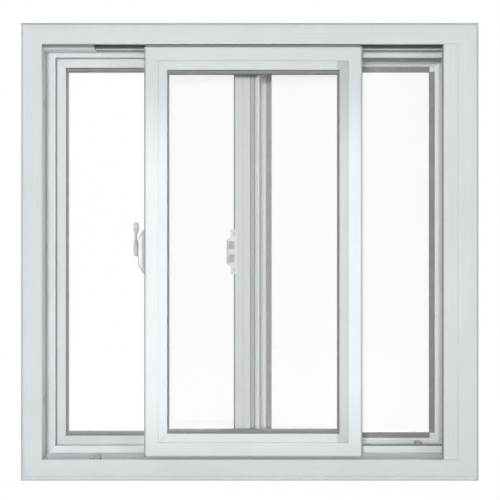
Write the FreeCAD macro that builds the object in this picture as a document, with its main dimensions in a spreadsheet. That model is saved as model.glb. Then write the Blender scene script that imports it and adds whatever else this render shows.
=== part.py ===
import FreeCAD, Part
import os
import re

import Sketcher

# Horizontal sliding window of white vinyl, seen from the room.
# X runs to the right, Y from the room to the weather side, Z up.
# The origin is on the underside of the sill, at mid width and mid depth.
# Every member is drawn in its own frame: X along it, Y its depth, Z inward from its outer edge.

SIZES = {
    # Frame: overall size and the section that its four mitred members share
    "frame_width": 762,
    "frame_height": 762,
    "face_width": 36,
    "step_width": 7,
    "step_depth": 1.5,
    "step_slope": 1.5,
    "edge_round": 4,
    "face_round": 2.5,
    "face_lip": 3,
    "front_drop": 2.5,
    "divider_thickness": 6,
    "divider_rise": 13.5,
    "rear_drop": 15,
    "rear_leg_thickness": 3,
    "rear_leg_rise": 13.5,
    "screen_seat_rise": 5,
    "outer_lip_thickness": 2,
    "outer_lip_rise": 10,
    "leg_round": 0.9,
    "key_groove_width": 8,
    "key_groove_depth": 3,
    "key_groove_inset": 10,
    # Fixing screws through each jamb
    "screw_hole": 5.5,
    "screw_setback": 28,
    "screw_spacing": 500,
    # Snap-in cover of the right jamb pocket
    "cover_thickness": 3,
    "cover_width": 23,
    "cover_leg": 2.5,
    "cover_leg_depth": 15,
    "cover_end_gap": 0.3,
    # Running clearance of the sashes, and the ribs that guide them
    "sash_clearance": 5,
    "rib_thickness": 3,
    "rib_engagement": 3,
    "guide_engagement": 3,
    "rib_foot_width": 6,
    "rib_foot_height": 1,
    "rib_round": 1,
    "rib_end_gap": 1,
    # Sash section and the reach of each sash past mid width when closed
    "sash_thickness": 28,
    "box_width": 23.5,
    "sash_round": 3,
    "glazing_leg": 5,
    "channel_width": 13,
    "channel_depth": 20,
    "inner_reach": 27.5,
    "inner_opening": 149,
    "outer_reach": 13.5,
    # Glazing
    "bead_width": 15,
    "bead_thickness": 5,
    "bead_slope": 1.5,
    "bead_groove": 1,
    "bead_end_gap": 0.2,
    "glass_thickness": 3,
    "glass_edge_gap": 2.5,
    "spacer_inset": 1,
    "spacer_sight": 4.5,
    # Rollers and their carriers
    "roller_radius": 8,
    "roller_width": 6,
    "roller_chamfer": 0.8,
    "roller_lift": 0.3,
    "roller_pin_radius": 2,
    "roller_pin_play": 0.3,
    "roller_side_play": 0.5,
    "roller_inset": 70,
    "carrier_length": 44,
    "carrier_height": 14,
    "carrier_slot_end": 1.5,
    # Sash lock
    "lock_length": 72,
    "lock_flat": 42,
    "lock_proud": 10,
    "lock_end_proud": 2.5,
    "lock_wall": 2.5,
    "pivot_setback": 20,
    "shaft_radius": 4,
    "shaft_play": 0.3,
    "hub_radius": 8,
    "hub_gap": 0.4,
    "hub_thickness": 9.5,
    "lever_length": 50,
    "lever_thickness": 7.5,
    "lever_width": 12,
    "lever_round": 4,
    "bulb_height": 17,
    "neck_height": 26,
    "neck_inset": 1.5,
    "neck_width": 4.5,
    "tab_height": 37,
    "tab_width": 9.5,
    "cam_radius": 18,
    "cam_width": 11,
    "cam_play": 0.5,
    # Keeper and interlock on the outer sash
    "keeper_length": 76,
    "keeper_plate": 3,
    "keeper_seat": 5,
    "keeper_side": 8,
    "catch_length": 40,
    "catch_reach": 15,
    "catch_slope": 5,
    "catch_lip": 2.5,
    "catch_depth": 7,
    "catch_round": 1,
    "interlock_leg": 2,
    "interlock_seat": 14,
    "interlock_depth": 6,
    "interlock_hook": 2.5,
    "interlock_wall": 2.5,
    "interlock_round": 1,
    "groove_inset": 4,
    "groove_width": 8.5,
    "groove_depth": 4,
    # Track stops
    "stop_length": 11,
    "stop_depth": 11,
    "stop_round": 2,
    "front_stop_height": 8,
    "front_stop_inset": 89,
    "rear_stop_height": 33,
    "rear_stop_inset": 55,
    # Insect screen
    "screen_bar_width": 22,
    "screen_thickness": 8,
    "screen_play": 1,
    "screen_top_gap": 2,
    "screen_left": 16.5,
    "screen_round": 1.2,
    "spline_recess_width": 9.5,
    "spline_recess_depth": 3,
    "spline_play": 0.5,
    "spline_sink": 0.3,
    "mesh_thickness": 0.4,
    "mesh_edge": 3,
    "mesh_bar": 4,
    # Weep hole covers on the weather side of the sill
    "weep_length": 42,
    "weep_height": 10,
    "weep_proud": 2,
    "weep_slope": 1.2,
    "weep_rise": 9,
    "weep_inset": 151,
    # Overrun of cutting profiles past the piece they cut
    "cut_margin": 2,
}

# Openings of the grid that stands in for the woven mesh
MESH_COLUMNS = 6
MESH_ROWS = 12

# Depths behind the face of the frame
INNER_FRONT = "(cover_thickness + sash_clearance)"
DIVIDER_FRONT = f"({INNER_FRONT} + sash_thickness + sash_clearance)"
DIVIDER_BACK = f"({DIVIDER_FRONT} + divider_thickness)"
OUTER_FRONT = f"({DIVIDER_BACK} + sash_clearance)"
REAR_LEG_FRONT = f"({OUTER_FRONT} + sash_thickness + sash_clearance)"
REAR_LEG_BACK = f"({REAR_LEG_FRONT} + rear_leg_thickness)"
SCREEN_FRONT = f"({REAR_LEG_BACK} + screen_play)"
LIP_FRONT = f"({SCREEN_FRONT} + screen_thickness + screen_play)"
DEPTH = f"({LIP_FRONT} + outer_lip_thickness)"
FACE_Y = f"(-{DEPTH} / 2)"

# Distances inward from the outer edge of the frame
FRONT_FLOOR = "(face_width - front_drop)"
REAR_FLOOR = "(face_width - rear_drop)"
DIVIDER_TOP = "(face_width + divider_rise)"
REAR_LEG_TOP = "(face_width + rear_leg_rise)"
SCREEN_FLOOR = "(face_width + screen_seat_rise)"
LIP_TOP = "(face_width + outer_lip_rise)"

# Sashes, each with its width, height and the X of its middle at rest
INNER_RIGHT_CLOSED = "(frame_width / 2 - face_width - cover_leg - sash_clearance)"
INNER_WIDTH = f"({INNER_RIGHT_CLOSED} + inner_reach)"
INNER_HEIGHT = f"(frame_height - 2 * {FRONT_FLOOR} - 2 * sash_clearance)"
INNER_BOTTOM = f"({FRONT_FLOOR} + sash_clearance)"
INNER_MIDDLE = f"({INNER_WIDTH} / 2 - inner_reach - inner_opening)"
OUTER_LEFT = f"({REAR_FLOOR} + sash_clearance - frame_width / 2)"
OUTER_WIDTH = f"(outer_reach - {OUTER_LEFT})"
OUTER_HEIGHT = f"(frame_height - 2 * {REAR_FLOOR} - 2 * sash_clearance)"
OUTER_BOTTOM = f"({REAR_FLOOR} + sash_clearance)"
OUTER_MIDDLE = f"(outer_reach - {OUTER_WIDTH} / 2)"
SASH_FACE = "(box_width + bead_width)"
LEG_FRONT = "(sash_thickness - glazing_leg)"
CHANNEL_FRONT = "(sash_thickness / 2 - channel_width / 2)"
CHANNEL_BACK = "(sash_thickness / 2 + channel_width / 2)"
GLASS_EDGE = "(box_width + glass_edge_gap)"
GLASS_GAP = f"({LEG_FRONT} - bead_thickness - 2 * glass_thickness)"
SPACER_OUTER = f"({GLASS_EDGE} + spacer_inset)"
SPACER_INNER = f"({SASH_FACE} + spacer_sight)"

# Insect screen
SCREEN_RIGHT = f"(frame_width / 2 - {SCREEN_FLOOR} - screen_top_gap)"
SCREEN_WIDTH = f"({SCREEN_RIGHT} - screen_left)"
SCREEN_HEIGHT = f"(frame_height - 2 * {SCREEN_FLOOR} - screen_top_gap)"
SCREEN_MIDDLE = "(screen_left + " + SCREEN_WIDTH + " / 2)"
RECESS_EDGE = "(screen_bar_width - spline_recess_width)"

doc = FreeCAD.newDocument("SlidingWindow")
sheet = doc.addObject("Spreadsheet::Sheet", "Sizes")
for row, (alias, value) in enumerate(SIZES.items(), start=1):
    sheet.set(f"A{row}", alias)
    sheet.set(f"B{row}", str(value))
    sheet.setAlias(f"B{row}", alias)
doc.recompute()

nodes = []


def bound(formula):
    """Return the formula with every size written as a reference to its cell."""
    return re.sub(r"[a-z_]+", lambda word: f"Sizes.{word.group()}", formula)


def size(formula):
    """Return the present value of a formula in millimetres."""
    return float(sheet.evalExpression(bound(formula)))


def node(item, label):
    """Label a finished sub-part and keep it for writing."""
    item.Label = label
    nodes.append(item)
    return item


def place(item, x, y, z, turn=0):
    """Bind an item's place, and turn it about Y by a whole number of degrees."""
    for axis, formula in zip("xyz", (x, y, z)):
        item.setExpression(f"Placement.Base.{axis}", bound(formula))
    item.setExpression("Placement.Rotation.Axis.y", "1")
    item.setExpression("Placement.Rotation.Axis.z", "0")
    item.setExpression("Placement.Rotation.Angle", str(turn))


def new_body(name):
    """Add an empty body."""
    return doc.addObject("PartDesign::Body", name)


def new_sketch(body, role, name):
    """Add a sketch on one of the body's own origin planes."""
    sketch = body.newObject("Sketcher::SketchObject", f"{body.Name}_{name}")
    plane = next(item for item in body.Origin.OriginFeatures if item.Role == role)
    sketch.AttachmentSupport = [(plane, "")]
    sketch.MapMode = "FlatFace"
    return sketch


def fix_point(sketch, geometry, end, x, y):
    """Bind one point of a sketch to a pair of formulas."""
    for kind, formula, axis in (("DistanceX", x, -2), ("DistanceY", y, -1)):
        if formula == "0":
            sketch.addConstraint(Sketcher.Constraint("PointOnObject", geometry, end, axis))
            continue
        datum = Sketcher.Constraint(kind, -1, 1, geometry, end, size(formula))
        index = sketch.addConstraint(datum)
        sketch.setExpression(f"Constraints[{index}]", bound(formula))


def draw_outline(sketch, points):
    """Draw a closed outline whose corners are pairs of formulas."""
    first = sketch.GeometryCount
    corners = [FreeCAD.Vector(size(x), size(y), 0) for x, y in points]
    count = len(corners)
    for index, corner in enumerate(corners):
        line = Part.LineSegment(corner, corners[(index + 1) % count])
        sketch.addGeometry(line, False)
    for index, (x, y) in enumerate(points):
        following = first + (index + 1) % count
        sketch.addConstraint(Sketcher.Constraint("Coincident", first + index, 2, following, 1))
        fix_point(sketch, first + index, 1, x, y)


def draw_circle(sketch, x, y, radius):
    """Draw a circle whose centre and radius are formulas."""
    centre = FreeCAD.Vector(size(x), size(y), 0)
    circle = Part.Circle(centre, FreeCAD.Vector(0, 0, 1), size(radius))
    index = sketch.addGeometry(circle, False)
    fix_point(sketch, index, 3, x, y)
    datum = sketch.addConstraint(Sketcher.Constraint("Radius", index, size(radius)))
    sketch.setExpression(f"Constraints[{datum}]", bound(radius))


def rectangle(left, bottom, right, top):
    """Return the four corners of a rectangle."""
    return [(left, bottom), (right, bottom), (right, top), (left, top)]


def pad(body, sketch, length, name="Pad", way="Symmetric"):
    """Extrude a sketch both ways, along its normal or against it."""
    feature = body.newObject("PartDesign::Pad", f"{body.Name}_{name}")
    feature.Profile = sketch
    feature.SideType = "Symmetric" if way == "Symmetric" else "One side"
    feature.Reversed = way == "Reversed"
    feature.setExpression("Length", bound(length))
    doc.recompute()
    return feature


def pocket(body, sketch, name):
    """Cut a sketch through the whole body, both ways."""
    before = body.Shape.Volume
    feature = body.newObject("PartDesign::Pocket", f"{body.Name}_{name}")
    feature.Profile = sketch
    feature.Type = "ThroughAll"
    feature.SideType = "Symmetric"
    doc.recompute()
    if feature.Shape.Volume >= before:
        raise RuntimeError(f"{feature.Name} cuts nothing")
    return feature


def round_edges(body, spots, radius, axes="YZ", name="Round"):
    """Round the straight edges that run through the given spots, square to the two named axes."""
    base = body.Tip
    wanted = [tuple(size(formula) for formula in spot) for spot in spots]
    first, second = (("X", "Y", "Z").index(letter) for letter in axes)
    names = []
    for index, edge in enumerate(base.Shape.Edges, start=1):
        ends = [vertex.Point for vertex in edge.Vertexes]
        for spot in wanted:
            if all(abs(end[first] - spot[0]) + abs(end[second] - spot[1]) < 1e-4 for end in ends):
                names.append(f"Edge{index}")
    if not names:
        raise RuntimeError(f"{body.Name} has no edge to round")
    feature = body.newObject("PartDesign::Fillet", f"{body.Name}_{name}")
    feature.Base = (base, names)
    feature.setExpression("Radius", bound(radius))
    doc.recompute()
    return feature


def cut_mitres(body, length, reach):
    """Cut both ends of a member at 45 degrees, inward from its outer edge."""
    sketch = new_sketch(body, "XZ_Plane", "MitreSketch")
    for side in ("", "-"):
        end = f"{side}({length} / 2 + cut_margin)"
        inner = f"{side}({length} / 2 - {reach} - cut_margin)"
        draw_outline(sketch, [(end, "-cut_margin"), (end, f"{reach} + cut_margin"),
                              (inner, f"{reach} + cut_margin")])
    pocket(body, sketch, "Mitre")


def member(name, outline, length, reach):
    """Return a mitred bar of the given section, Y being its depth and Z its inward side."""
    body = new_body(name)
    sketch = new_sketch(body, "YZ_Plane", "Section")
    draw_outline(sketch, outline)
    pad(body, sketch, length)
    cut_mitres(body, length, reach)
    return body


def ring_sides(width, height, middle, depth, bottom):
    """Return the length, place and turn of the four sides of an upright rectangular ring."""
    half_up = f"{bottom} + {height} / 2"
    return {
        "bottom": (width, (middle, depth, bottom), 0),
        "top": (width, (middle, depth, f"{bottom} + {height}"), 180),
        "left": (height, (f"{middle} - {width} / 2", depth, half_up), 90),
        "right": (height, (f"{middle} + {width} / 2", depth, half_up), -90),
    }


def compound(label, items):
    """Gather like pieces that don't touch into one sub-part."""
    group = doc.addObject("Part::Compound", f"{label}_group")
    group.Links = items
    return node(group, label)


def box(name, length, width, height, x, y, z):
    """Return a plain block bound to its sizes and its lower front left corner."""
    block = doc.addObject("Part::Box", name)
    for side, formula in (("Length", length), ("Width", width), ("Height", height)):
        block.setExpression(side, bound(formula))
    place(block, x, y, z)
    return block


def build_frame():
    """Four mitred members with two tracks, a divider between them and a screen seat."""
    section = [
        ("step_depth", "0"),
        ("step_depth", "step_width"),
        ("0", "step_width + step_slope"),
        ("0", "face_width"),
        ("face_lip", "face_width"),
        ("face_lip", FRONT_FLOOR),
        (DIVIDER_FRONT, FRONT_FLOOR),
        (DIVIDER_FRONT, DIVIDER_TOP),
        (DIVIDER_BACK, DIVIDER_TOP),
        (DIVIDER_BACK, REAR_FLOOR),
        (REAR_LEG_FRONT, REAR_FLOOR),
        (REAR_LEG_FRONT, REAR_LEG_TOP),
        (REAR_LEG_BACK, REAR_LEG_TOP),
        (REAR_LEG_BACK, SCREEN_FLOOR),
        (LIP_FRONT, SCREEN_FLOOR),
        (LIP_FRONT, LIP_TOP),
        (DEPTH, LIP_TOP),
        (DEPTH, "0"),
    ]
    labels = {"bottom": "frame_sill", "top": "frame_head",
              "left": "frame_left_jamb", "right": "frame_right_jamb"}
    sides = ring_sides("frame_width", "frame_height", "0", FACE_Y, "0")
    for side, (length, spot, turn) in sides.items():
        body = member(f"Frame_{side}", section, length, DIVIDER_TOP)
        grooves = new_sketch(body, "YZ_Plane", "KeyGrooves")
        back = f"({DEPTH} - key_groove_inset)"
        draw_outline(grooves, rectangle("key_groove_inset", "-cut_margin",
                                        "key_groove_inset + key_groove_width", "key_groove_depth"))
        draw_outline(grooves, rectangle(f"{back} - key_groove_width", "-cut_margin",
                                        back, "key_groove_depth"))
        pocket(body, grooves, "KeyGroove")
        if side in ("left", "right"):
            holes = new_sketch(body, "XY_Plane", "ScrewHoles")
            for sign in ("", "-"):
                draw_circle(holes, f"{sign}screw_spacing / 2", "screw_setback", "screw_hole / 2")
            pocket(body, holes, "ScrewHole")
        round_edges(body, [("step_depth", "0")], "edge_round", name="EdgeRound")
        round_edges(body, [("0", "face_width")], "face_round", name="FaceRound")
        round_edges(body, [(DIVIDER_FRONT, DIVIDER_TOP), (DIVIDER_BACK, DIVIDER_TOP),
                           (REAR_LEG_FRONT, REAR_LEG_TOP), (REAR_LEG_BACK, REAR_LEG_TOP)],
                    "leg_round", name="LegRound")
        place(body, *spot, turn)
        node(body, labels[side])


def build_pocket_cover():
    """Angle strip that closes the front of the right jamb's pocket and clips behind its lip."""
    body = new_body("PocketCover")
    sketch = new_sketch(body, "XY_Plane", "Section")
    draw_outline(sketch, [
        ("0", "0"),
        ("0", "face_lip"),
        ("front_drop", "face_lip"),
        ("front_drop", "cover_leg_depth"),
        ("-cover_leg", "cover_leg_depth"),
        ("-cover_leg", "cover_thickness"),
        ("-cover_width", "cover_thickness"),
        ("-cover_width", "0"),
    ])
    pad(body, sketch, "frame_height - 2 * face_width - 2 * cover_end_gap")
    round_edges(body, [("-cover_width", "0")], "cover_thickness / 2", axes="XY")
    place(body, "frame_width / 2 - face_width", FACE_Y, "frame_height / 2")
    node(body, "jamb_pocket_cover")


def build_track(name, label, length, rise, depth, floor, turn):
    """Rounded rib on a narrow foot, which a sash rides on or is guided by."""
    body = new_body(name)
    sketch = new_sketch(body, "YZ_Plane", "Section")
    draw_outline(sketch, [
        ("-rib_foot_width / 2", "0"),
        ("rib_foot_width / 2", "0"),
        ("rib_foot_width / 2", "rib_foot_height"),
        ("rib_thickness / 2", "rib_foot_height"),
        ("rib_thickness / 2", rise),
        ("-rib_thickness / 2", rise),
        ("-rib_thickness / 2", "rib_foot_height"),
        ("-rib_foot_width / 2", "rib_foot_height"),
    ])
    pad(body, sketch, length)
    round_edges(body, [("rib_thickness / 2", rise), ("-rib_thickness / 2", rise)], "rib_round")
    place(body, "0", f"{FACE_Y} + {depth} + sash_thickness / 2", floor, turn)
    node(body, label)


def build_tracks():
    """Sill ribs that carry the rollers and head ribs that guide the sashes."""
    front_length = "(frame_width - 2 * face_width - 2 * cover_leg - 2 * rib_end_gap)"
    rear_length = f"(frame_width - 2 * {REAR_FLOOR} - 2 * rib_end_gap)"
    sill_rise = "(sash_clearance + rib_engagement)"
    head_rise = "(sash_clearance + guide_engagement)"
    build_track("FrontTrack", "front_sill_track", front_length, sill_rise,
                INNER_FRONT, FRONT_FLOOR, 0)
    build_track("RearTrack", "rear_sill_track", rear_length, sill_rise,
                OUTER_FRONT, REAR_FLOOR, 0)
    build_track("FrontGuide", "front_head_guide", front_length, head_rise,
                INNER_FRONT, f"frame_height - {FRONT_FLOOR}", 180)
    build_track("RearGuide", "rear_head_guide", rear_length, head_rise,
                OUTER_FRONT, f"frame_height - {REAR_FLOOR}", 180)


def build_stop(name, label, x, depth, floor, height):
    """Block in a sill track that ends the travel of a sash."""
    body = new_body(name)
    sketch = new_sketch(body, "XZ_Plane", "Face")
    draw_outline(sketch, rectangle("-stop_length / 2", "0", "stop_length / 2", height))
    pad(body, sketch, "stop_depth")
    round_edges(body, [("-stop_length / 2", height), ("stop_length / 2", height)],
                "stop_round", axes="XZ")
    place(body, x, f"{FACE_Y} + {depth} + stop_depth / 2", floor)
    node(body, label)


def build_screen():
    """Half screen of four mitred bars, with its mesh held by a spline."""
    section = [
        ("0", "0"),
        ("0", RECESS_EDGE),
        ("spline_recess_depth", RECESS_EDGE),
        ("spline_recess_depth", "screen_bar_width"),
        ("screen_thickness", "screen_bar_width"),
        ("screen_thickness", "0"),
    ]
    depth = f"({FACE_Y} + {SCREEN_FRONT})"
    sides = ring_sides(SCREEN_WIDTH, SCREEN_HEIGHT, SCREEN_MIDDLE, depth, SCREEN_FLOOR)
    for side, (length, spot, turn) in sides.items():
        body = member(f"Screen_{side}", section, length, "screen_bar_width")
        round_edges(body, [("0", RECESS_EDGE), ("0", "0"), ("screen_thickness", "screen_bar_width")],
                    "screen_round")
        place(body, *spot, turn)
        node(body, f"screen_{side}_bar")
    build_mesh(f"({depth} + spline_recess_depth - mesh_thickness)")
    spline_outer = f"({RECESS_EDGE} + spline_play)"
    spline_depth = "(spline_recess_depth - mesh_thickness - spline_sink)"
    rims = []
    for name, inset in (("SplineOuter", spline_outer), ("SplineInner", "screen_bar_width")):
        rims.append(box(name, f"{SCREEN_WIDTH} - 2 * {inset}", spline_depth,
                        f"{SCREEN_HEIGHT} - 2 * {inset}", f"screen_left + {inset}",
                        f"{depth} + spline_sink", f"{SCREEN_FLOOR} + {inset}"))
    spline = doc.addObject("Part::Cut", "ScreenSpline")
    spline.Base, spline.Tool = rims
    node(spline, "screen_spline")


def build_mesh(front):
    """Open grid in the plane of the mesh."""
    inset = f"({RECESS_EDGE} + mesh_edge)"
    width = f"({SCREEN_WIDTH} - 2 * {inset})"
    height = f"({SCREEN_HEIGHT} - 2 * {inset})"
    left = f"(screen_left + {inset})"
    bottom = f"({SCREEN_FLOOR} + {inset})"
    bars = []
    for index in range(MESH_COLUMNS + 1):
        x = f"{left} + {index} * ({width} - mesh_bar) / {MESH_COLUMNS}"
        bars.append(box(f"MeshUpright_{index}", "mesh_bar", "mesh_thickness", height, x, front, bottom))
    for index in range(MESH_ROWS + 1):
        z = f"{bottom} + {index} * ({height} - mesh_bar) / {MESH_ROWS}"
        bars.append(box(f"MeshCross_{index}", width, "mesh_thickness", "mesh_bar", left, front, z))
    grid = doc.addObject("Part::MultiFuse", "ScreenMesh")
    grid.Shapes = bars
    grid.Refine = True
    node(grid, "screen_mesh")


def build_weep_covers():
    """Sloped hoods over the weep holes on the weather face of the sill."""
    covers = []
    for name, sign in (("WeepLeft", "-"), ("WeepRight", "")):
        body = new_body(name)
        sketch = new_sketch(body, "YZ_Plane", "Section")
        draw_outline(sketch, [("0", "0"), ("weep_proud", "0"),
                              ("weep_proud - weep_slope", "weep_height"), ("0", "weep_height")])
        pad(body, sketch, "weep_length")
        place(body, f"{sign}(frame_width / 2 - weep_inset)", f"{FACE_Y} + {DEPTH}", "weep_rise")
        covers.append(body)
    compound("sill_weep_covers", covers)


def cut_interlock_groove(body):
    """Cut the groove of the interlock into the room side of a stile."""
    sketch = new_sketch(body, "YZ_Plane", "Groove")
    draw_outline(sketch, rectangle("-cut_margin", "groove_inset", "groove_depth",
                                   "groove_inset + groove_width"))
    pocket(body, sketch, "GrooveCut")


def build_sash(prefix, labels, width, height, middle, front, bottom):
    """Mitred sash with its beads, sealed glass unit and rollers."""
    depth = f"({FACE_Y} + {front})"
    section = [
        ("0", "0"),
        ("0", "box_width"),
        (LEG_FRONT, "box_width"),
        (LEG_FRONT, SASH_FACE),
        ("sash_thickness", SASH_FACE),
        ("sash_thickness", "0"),
    ]
    bead_section = [
        ("bead_thickness", "box_width"),
        ("bead_groove", "box_width"),
        ("0", "box_width + bead_groove"),
        ("bead_slope", SASH_FACE),
        ("bead_thickness", SASH_FACE),
    ]
    beads = []
    for side, (length, spot, turn) in ring_sides(width, height, middle, depth, bottom).items():
        body = member(f"{prefix}_{side}", section, length, SASH_FACE)
        if side in ("bottom", "top"):
            channel = new_sketch(body, "YZ_Plane", "Channel")
            draw_outline(channel, rectangle(CHANNEL_FRONT, "-cut_margin", CHANNEL_BACK, "channel_depth"))
        else:
            channel = new_sketch(body, "XY_Plane", "ChannelEnds")
            for sign in ("", "-"):
                end = f"{sign}({length} / 2 + cut_margin)"
                inner = f"{sign}({length} / 2 - channel_depth)"
                draw_outline(channel, rectangle(inner, CHANNEL_FRONT, end, CHANNEL_BACK))
        pocket(body, channel, "ChannelCut")
        if labels[side] == "meeting_stile":
            cut_interlock_groove(body)
        round_edges(body, [("0", "0"), ("sash_thickness", "0")], "sash_round")
        place(body, *spot, turn)
        node(body, f"{prefix}_{labels[side]}")
        bead = member(f"{prefix}_{side}_bead", bead_section, f"({length} - 2 * bead_end_gap)", SASH_FACE)
        place(bead, *spot, turn)
        beads.append(bead)
    compound(f"{prefix}_beads", beads)
    left = f"({middle} - {width} / 2)"
    room_glass = f"({depth} + bead_thickness)"
    outer_glass = f"({depth} + {LEG_FRONT} - glass_thickness)"
    for label, glass_front in (("room_pane", room_glass), ("weather_pane", outer_glass)):
        pane = box(f"{prefix}_{label}_glass", f"{width} - 2 * {GLASS_EDGE}", "glass_thickness",
                   f"{height} - 2 * {GLASS_EDGE}", f"{left} + {GLASS_EDGE}", glass_front,
                   f"{bottom} + {GLASS_EDGE}")
        node(pane, f"{prefix}_{label}")
    rims = []
    for name, inset in (("SpacerOuter", SPACER_OUTER), ("SpacerInner", SPACER_INNER)):
        rims.append(box(f"{prefix}_{name}", f"{width} - 2 * {inset}", GLASS_GAP,
                        f"{height} - 2 * {inset}", f"{left} + {inset}",
                        f"{room_glass} + glass_thickness", f"{bottom} + {inset}"))
    spacer = doc.addObject("Part::Cut", f"{prefix}_SpacerRing")
    spacer.Base, spacer.Tool = rims
    node(spacer, f"{prefix}_spacer")
    build_rollers(prefix, width, middle, depth, bottom)


def build_rollers(prefix, width, middle, depth, bottom):
    """Two rollers on pins, each in a slotted carrier in the channel of the bottom rail."""
    axle = "(rib_engagement + roller_lift + roller_radius)"
    slot = "(roller_radius + carrier_slot_end)"
    half_pin = "(channel_width / 2 - roller_side_play)"
    rollers = []
    carriers = []
    for end, sign in (("left", "-"), ("right", "")):
        x = f"{middle} {sign or '+'} ({width} / 2 - roller_inset)"
        y = f"{depth} + sash_thickness / 2"
        wheel = new_body(f"{prefix}_{end}_roller")
        sketch = new_sketch(wheel, "XY_Plane", "Profile")
        draw_outline(sketch, [
            ("0", f"-{half_pin}"),
            ("roller_pin_radius", f"-{half_pin}"),
            ("roller_pin_radius", "-roller_width / 2"),
            ("roller_radius - roller_chamfer", "-roller_width / 2"),
            ("roller_radius", "roller_chamfer - roller_width / 2"),
            ("roller_radius", "roller_width / 2 - roller_chamfer"),
            ("roller_radius - roller_chamfer", "roller_width / 2"),
            ("roller_pin_radius", "roller_width / 2"),
            ("roller_pin_radius", half_pin),
            ("0", half_pin),
        ])
        turned = wheel.newObject("PartDesign::Revolution", f"{prefix}_{end}_turned")
        turned.Profile = sketch
        turned.ReferenceAxis = (sketch, ["V_Axis"])
        turned.Angle = 360
        doc.recompute()
        place(wheel, x, y, f"{bottom} + {axle}")
        rollers.append(wheel)
        carrier = new_body(f"{prefix}_{end}_carrier")
        side_face = new_sketch(carrier, "XZ_Plane", "Side")
        draw_outline(side_face, rectangle("-carrier_length / 2", "channel_depth - carrier_height",
                                          "carrier_length / 2", "channel_depth"))
        pad(carrier, side_face, "channel_width")
        opening = new_sketch(carrier, "XY_Plane", "Slot")
        half_slot = "(roller_width / 2 + roller_side_play)"
        draw_outline(opening, rectangle(f"-{slot}", f"-{half_slot}", slot, half_slot))
        pocket(carrier, opening, "SlotCut")
        bore = new_sketch(carrier, "XZ_Plane", "Bore")
        draw_circle(bore, "0", axle, "roller_pin_radius + roller_pin_play")
        pocket(carrier, bore, "BoreCut")
        place(carrier, x, y, bottom)
        carriers.append(carrier)
    compound(f"{prefix}_rollers", rollers)
    compound(f"{prefix}_roller_carriers", carriers)


def build_lock():
    """Lock case on the edge of the inner sash, with a lever and cam on one shaft."""
    edge = f"({INNER_MIDDLE} - {INNER_WIDTH} / 2)"
    pivot_y = f"{FACE_Y} + {INNER_FRONT} + pivot_setback"
    pivot_z = "frame_height / 2"
    case = new_body("LockCase")
    face = new_sketch(case, "XZ_Plane", "Face")
    draw_outline(face, [
        ("0", "-lock_length / 2"),
        ("0", "lock_length / 2"),
        ("-lock_end_proud", "lock_length / 2"),
        ("-lock_proud", "lock_flat / 2"),
        ("-lock_proud", "-lock_flat / 2"),
        ("-lock_end_proud", "-lock_length / 2"),
    ])
    pad(case, face, "sash_thickness", way="Forward")
    place(case, edge, f"{FACE_Y} + {INNER_FRONT} + sash_thickness", pivot_z)
    node(case, "lock_case")
    chamber = new_sketch(case, "YZ_Plane", "Chamber")
    draw_circle(chamber, "pivot_setback - sash_thickness", "0", "cam_radius + cam_play")
    cavity = case.newObject("PartDesign::Pocket", "LockCase_Cavity")
    cavity.Profile = chamber
    cavity.SideType = "One side"
    cavity.setExpression("Length", bound("lock_proud - lock_wall"))
    doc.recompute()
    bore = new_sketch(case, "YZ_Plane", "ShaftBore")
    draw_circle(bore, "pivot_setback - sash_thickness", "0", "shaft_radius + shaft_play")
    pocket(case, bore, "ShaftBoreCut")
    build_lever(edge, pivot_y, pivot_z)


def build_lever(edge, pivot_y, pivot_z):
    """Lever with a narrow neck and a broad thumb tab, its hub, shaft and cam in one piece."""
    lever = new_body("LockLever")
    cam = new_sketch(lever, "YZ_Plane", "Cam")
    draw_outline(cam, rectangle("cam_play - cam_radius", "-cam_width / 2", "shaft_radius", "cam_width / 2"))
    pad(lever, cam, "lock_proud - 2 * lock_wall - 2 * cam_play", "CamPad")
    hub_back = "(lock_proud / 2 + hub_gap)"
    hub_front = f"({hub_back} + hub_thickness)"
    shaft = new_sketch(lever, "YZ_Plane", "Shaft")
    draw_circle(shaft, "0", "0", "shaft_radius")
    pad(lever, shaft, f"{hub_front} - lever_thickness", "ShaftPad", "Reversed")
    hub = new_sketch(lever, "YZ_Plane", "Hub")
    hub.setExpression("AttachmentOffset.Base.z", bound(f"-{hub_back}"))
    draw_circle(hub, "0", "0", "hub_radius")
    pad(lever, hub, "hub_thickness", "HubPad", "Reversed")
    arm = new_sketch(lever, "XZ_Plane", "Arm")
    neck = f"neck_inset - {hub_front}"
    draw_outline(arm, [
        (f"-{hub_front}", "0"),
        (f"lever_thickness - {hub_front}", "0"),
        (f"lever_thickness - {hub_front}", "bulb_height"),
        (f"{neck} + neck_width", "neck_height"),
        (f"tab_width - {hub_front}", "tab_height"),
        (f"tab_width - {hub_front}", "lever_length"),
        (f"-{hub_front}", "lever_length"),
        (f"-{hub_front}", "tab_height"),
        (neck, "neck_height"),
        (f"-{hub_front}", "bulb_height"),
    ])
    pad(lever, arm, "lever_width", "ArmPad")
    round_edges(lever, [("lever_width / 2", "lever_length"), ("-lever_width / 2", "lever_length")],
                "lever_round")
    place(lever, f"{edge} - lock_proud / 2", pivot_y, pivot_z)
    node(lever, "lock_lever")


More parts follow.
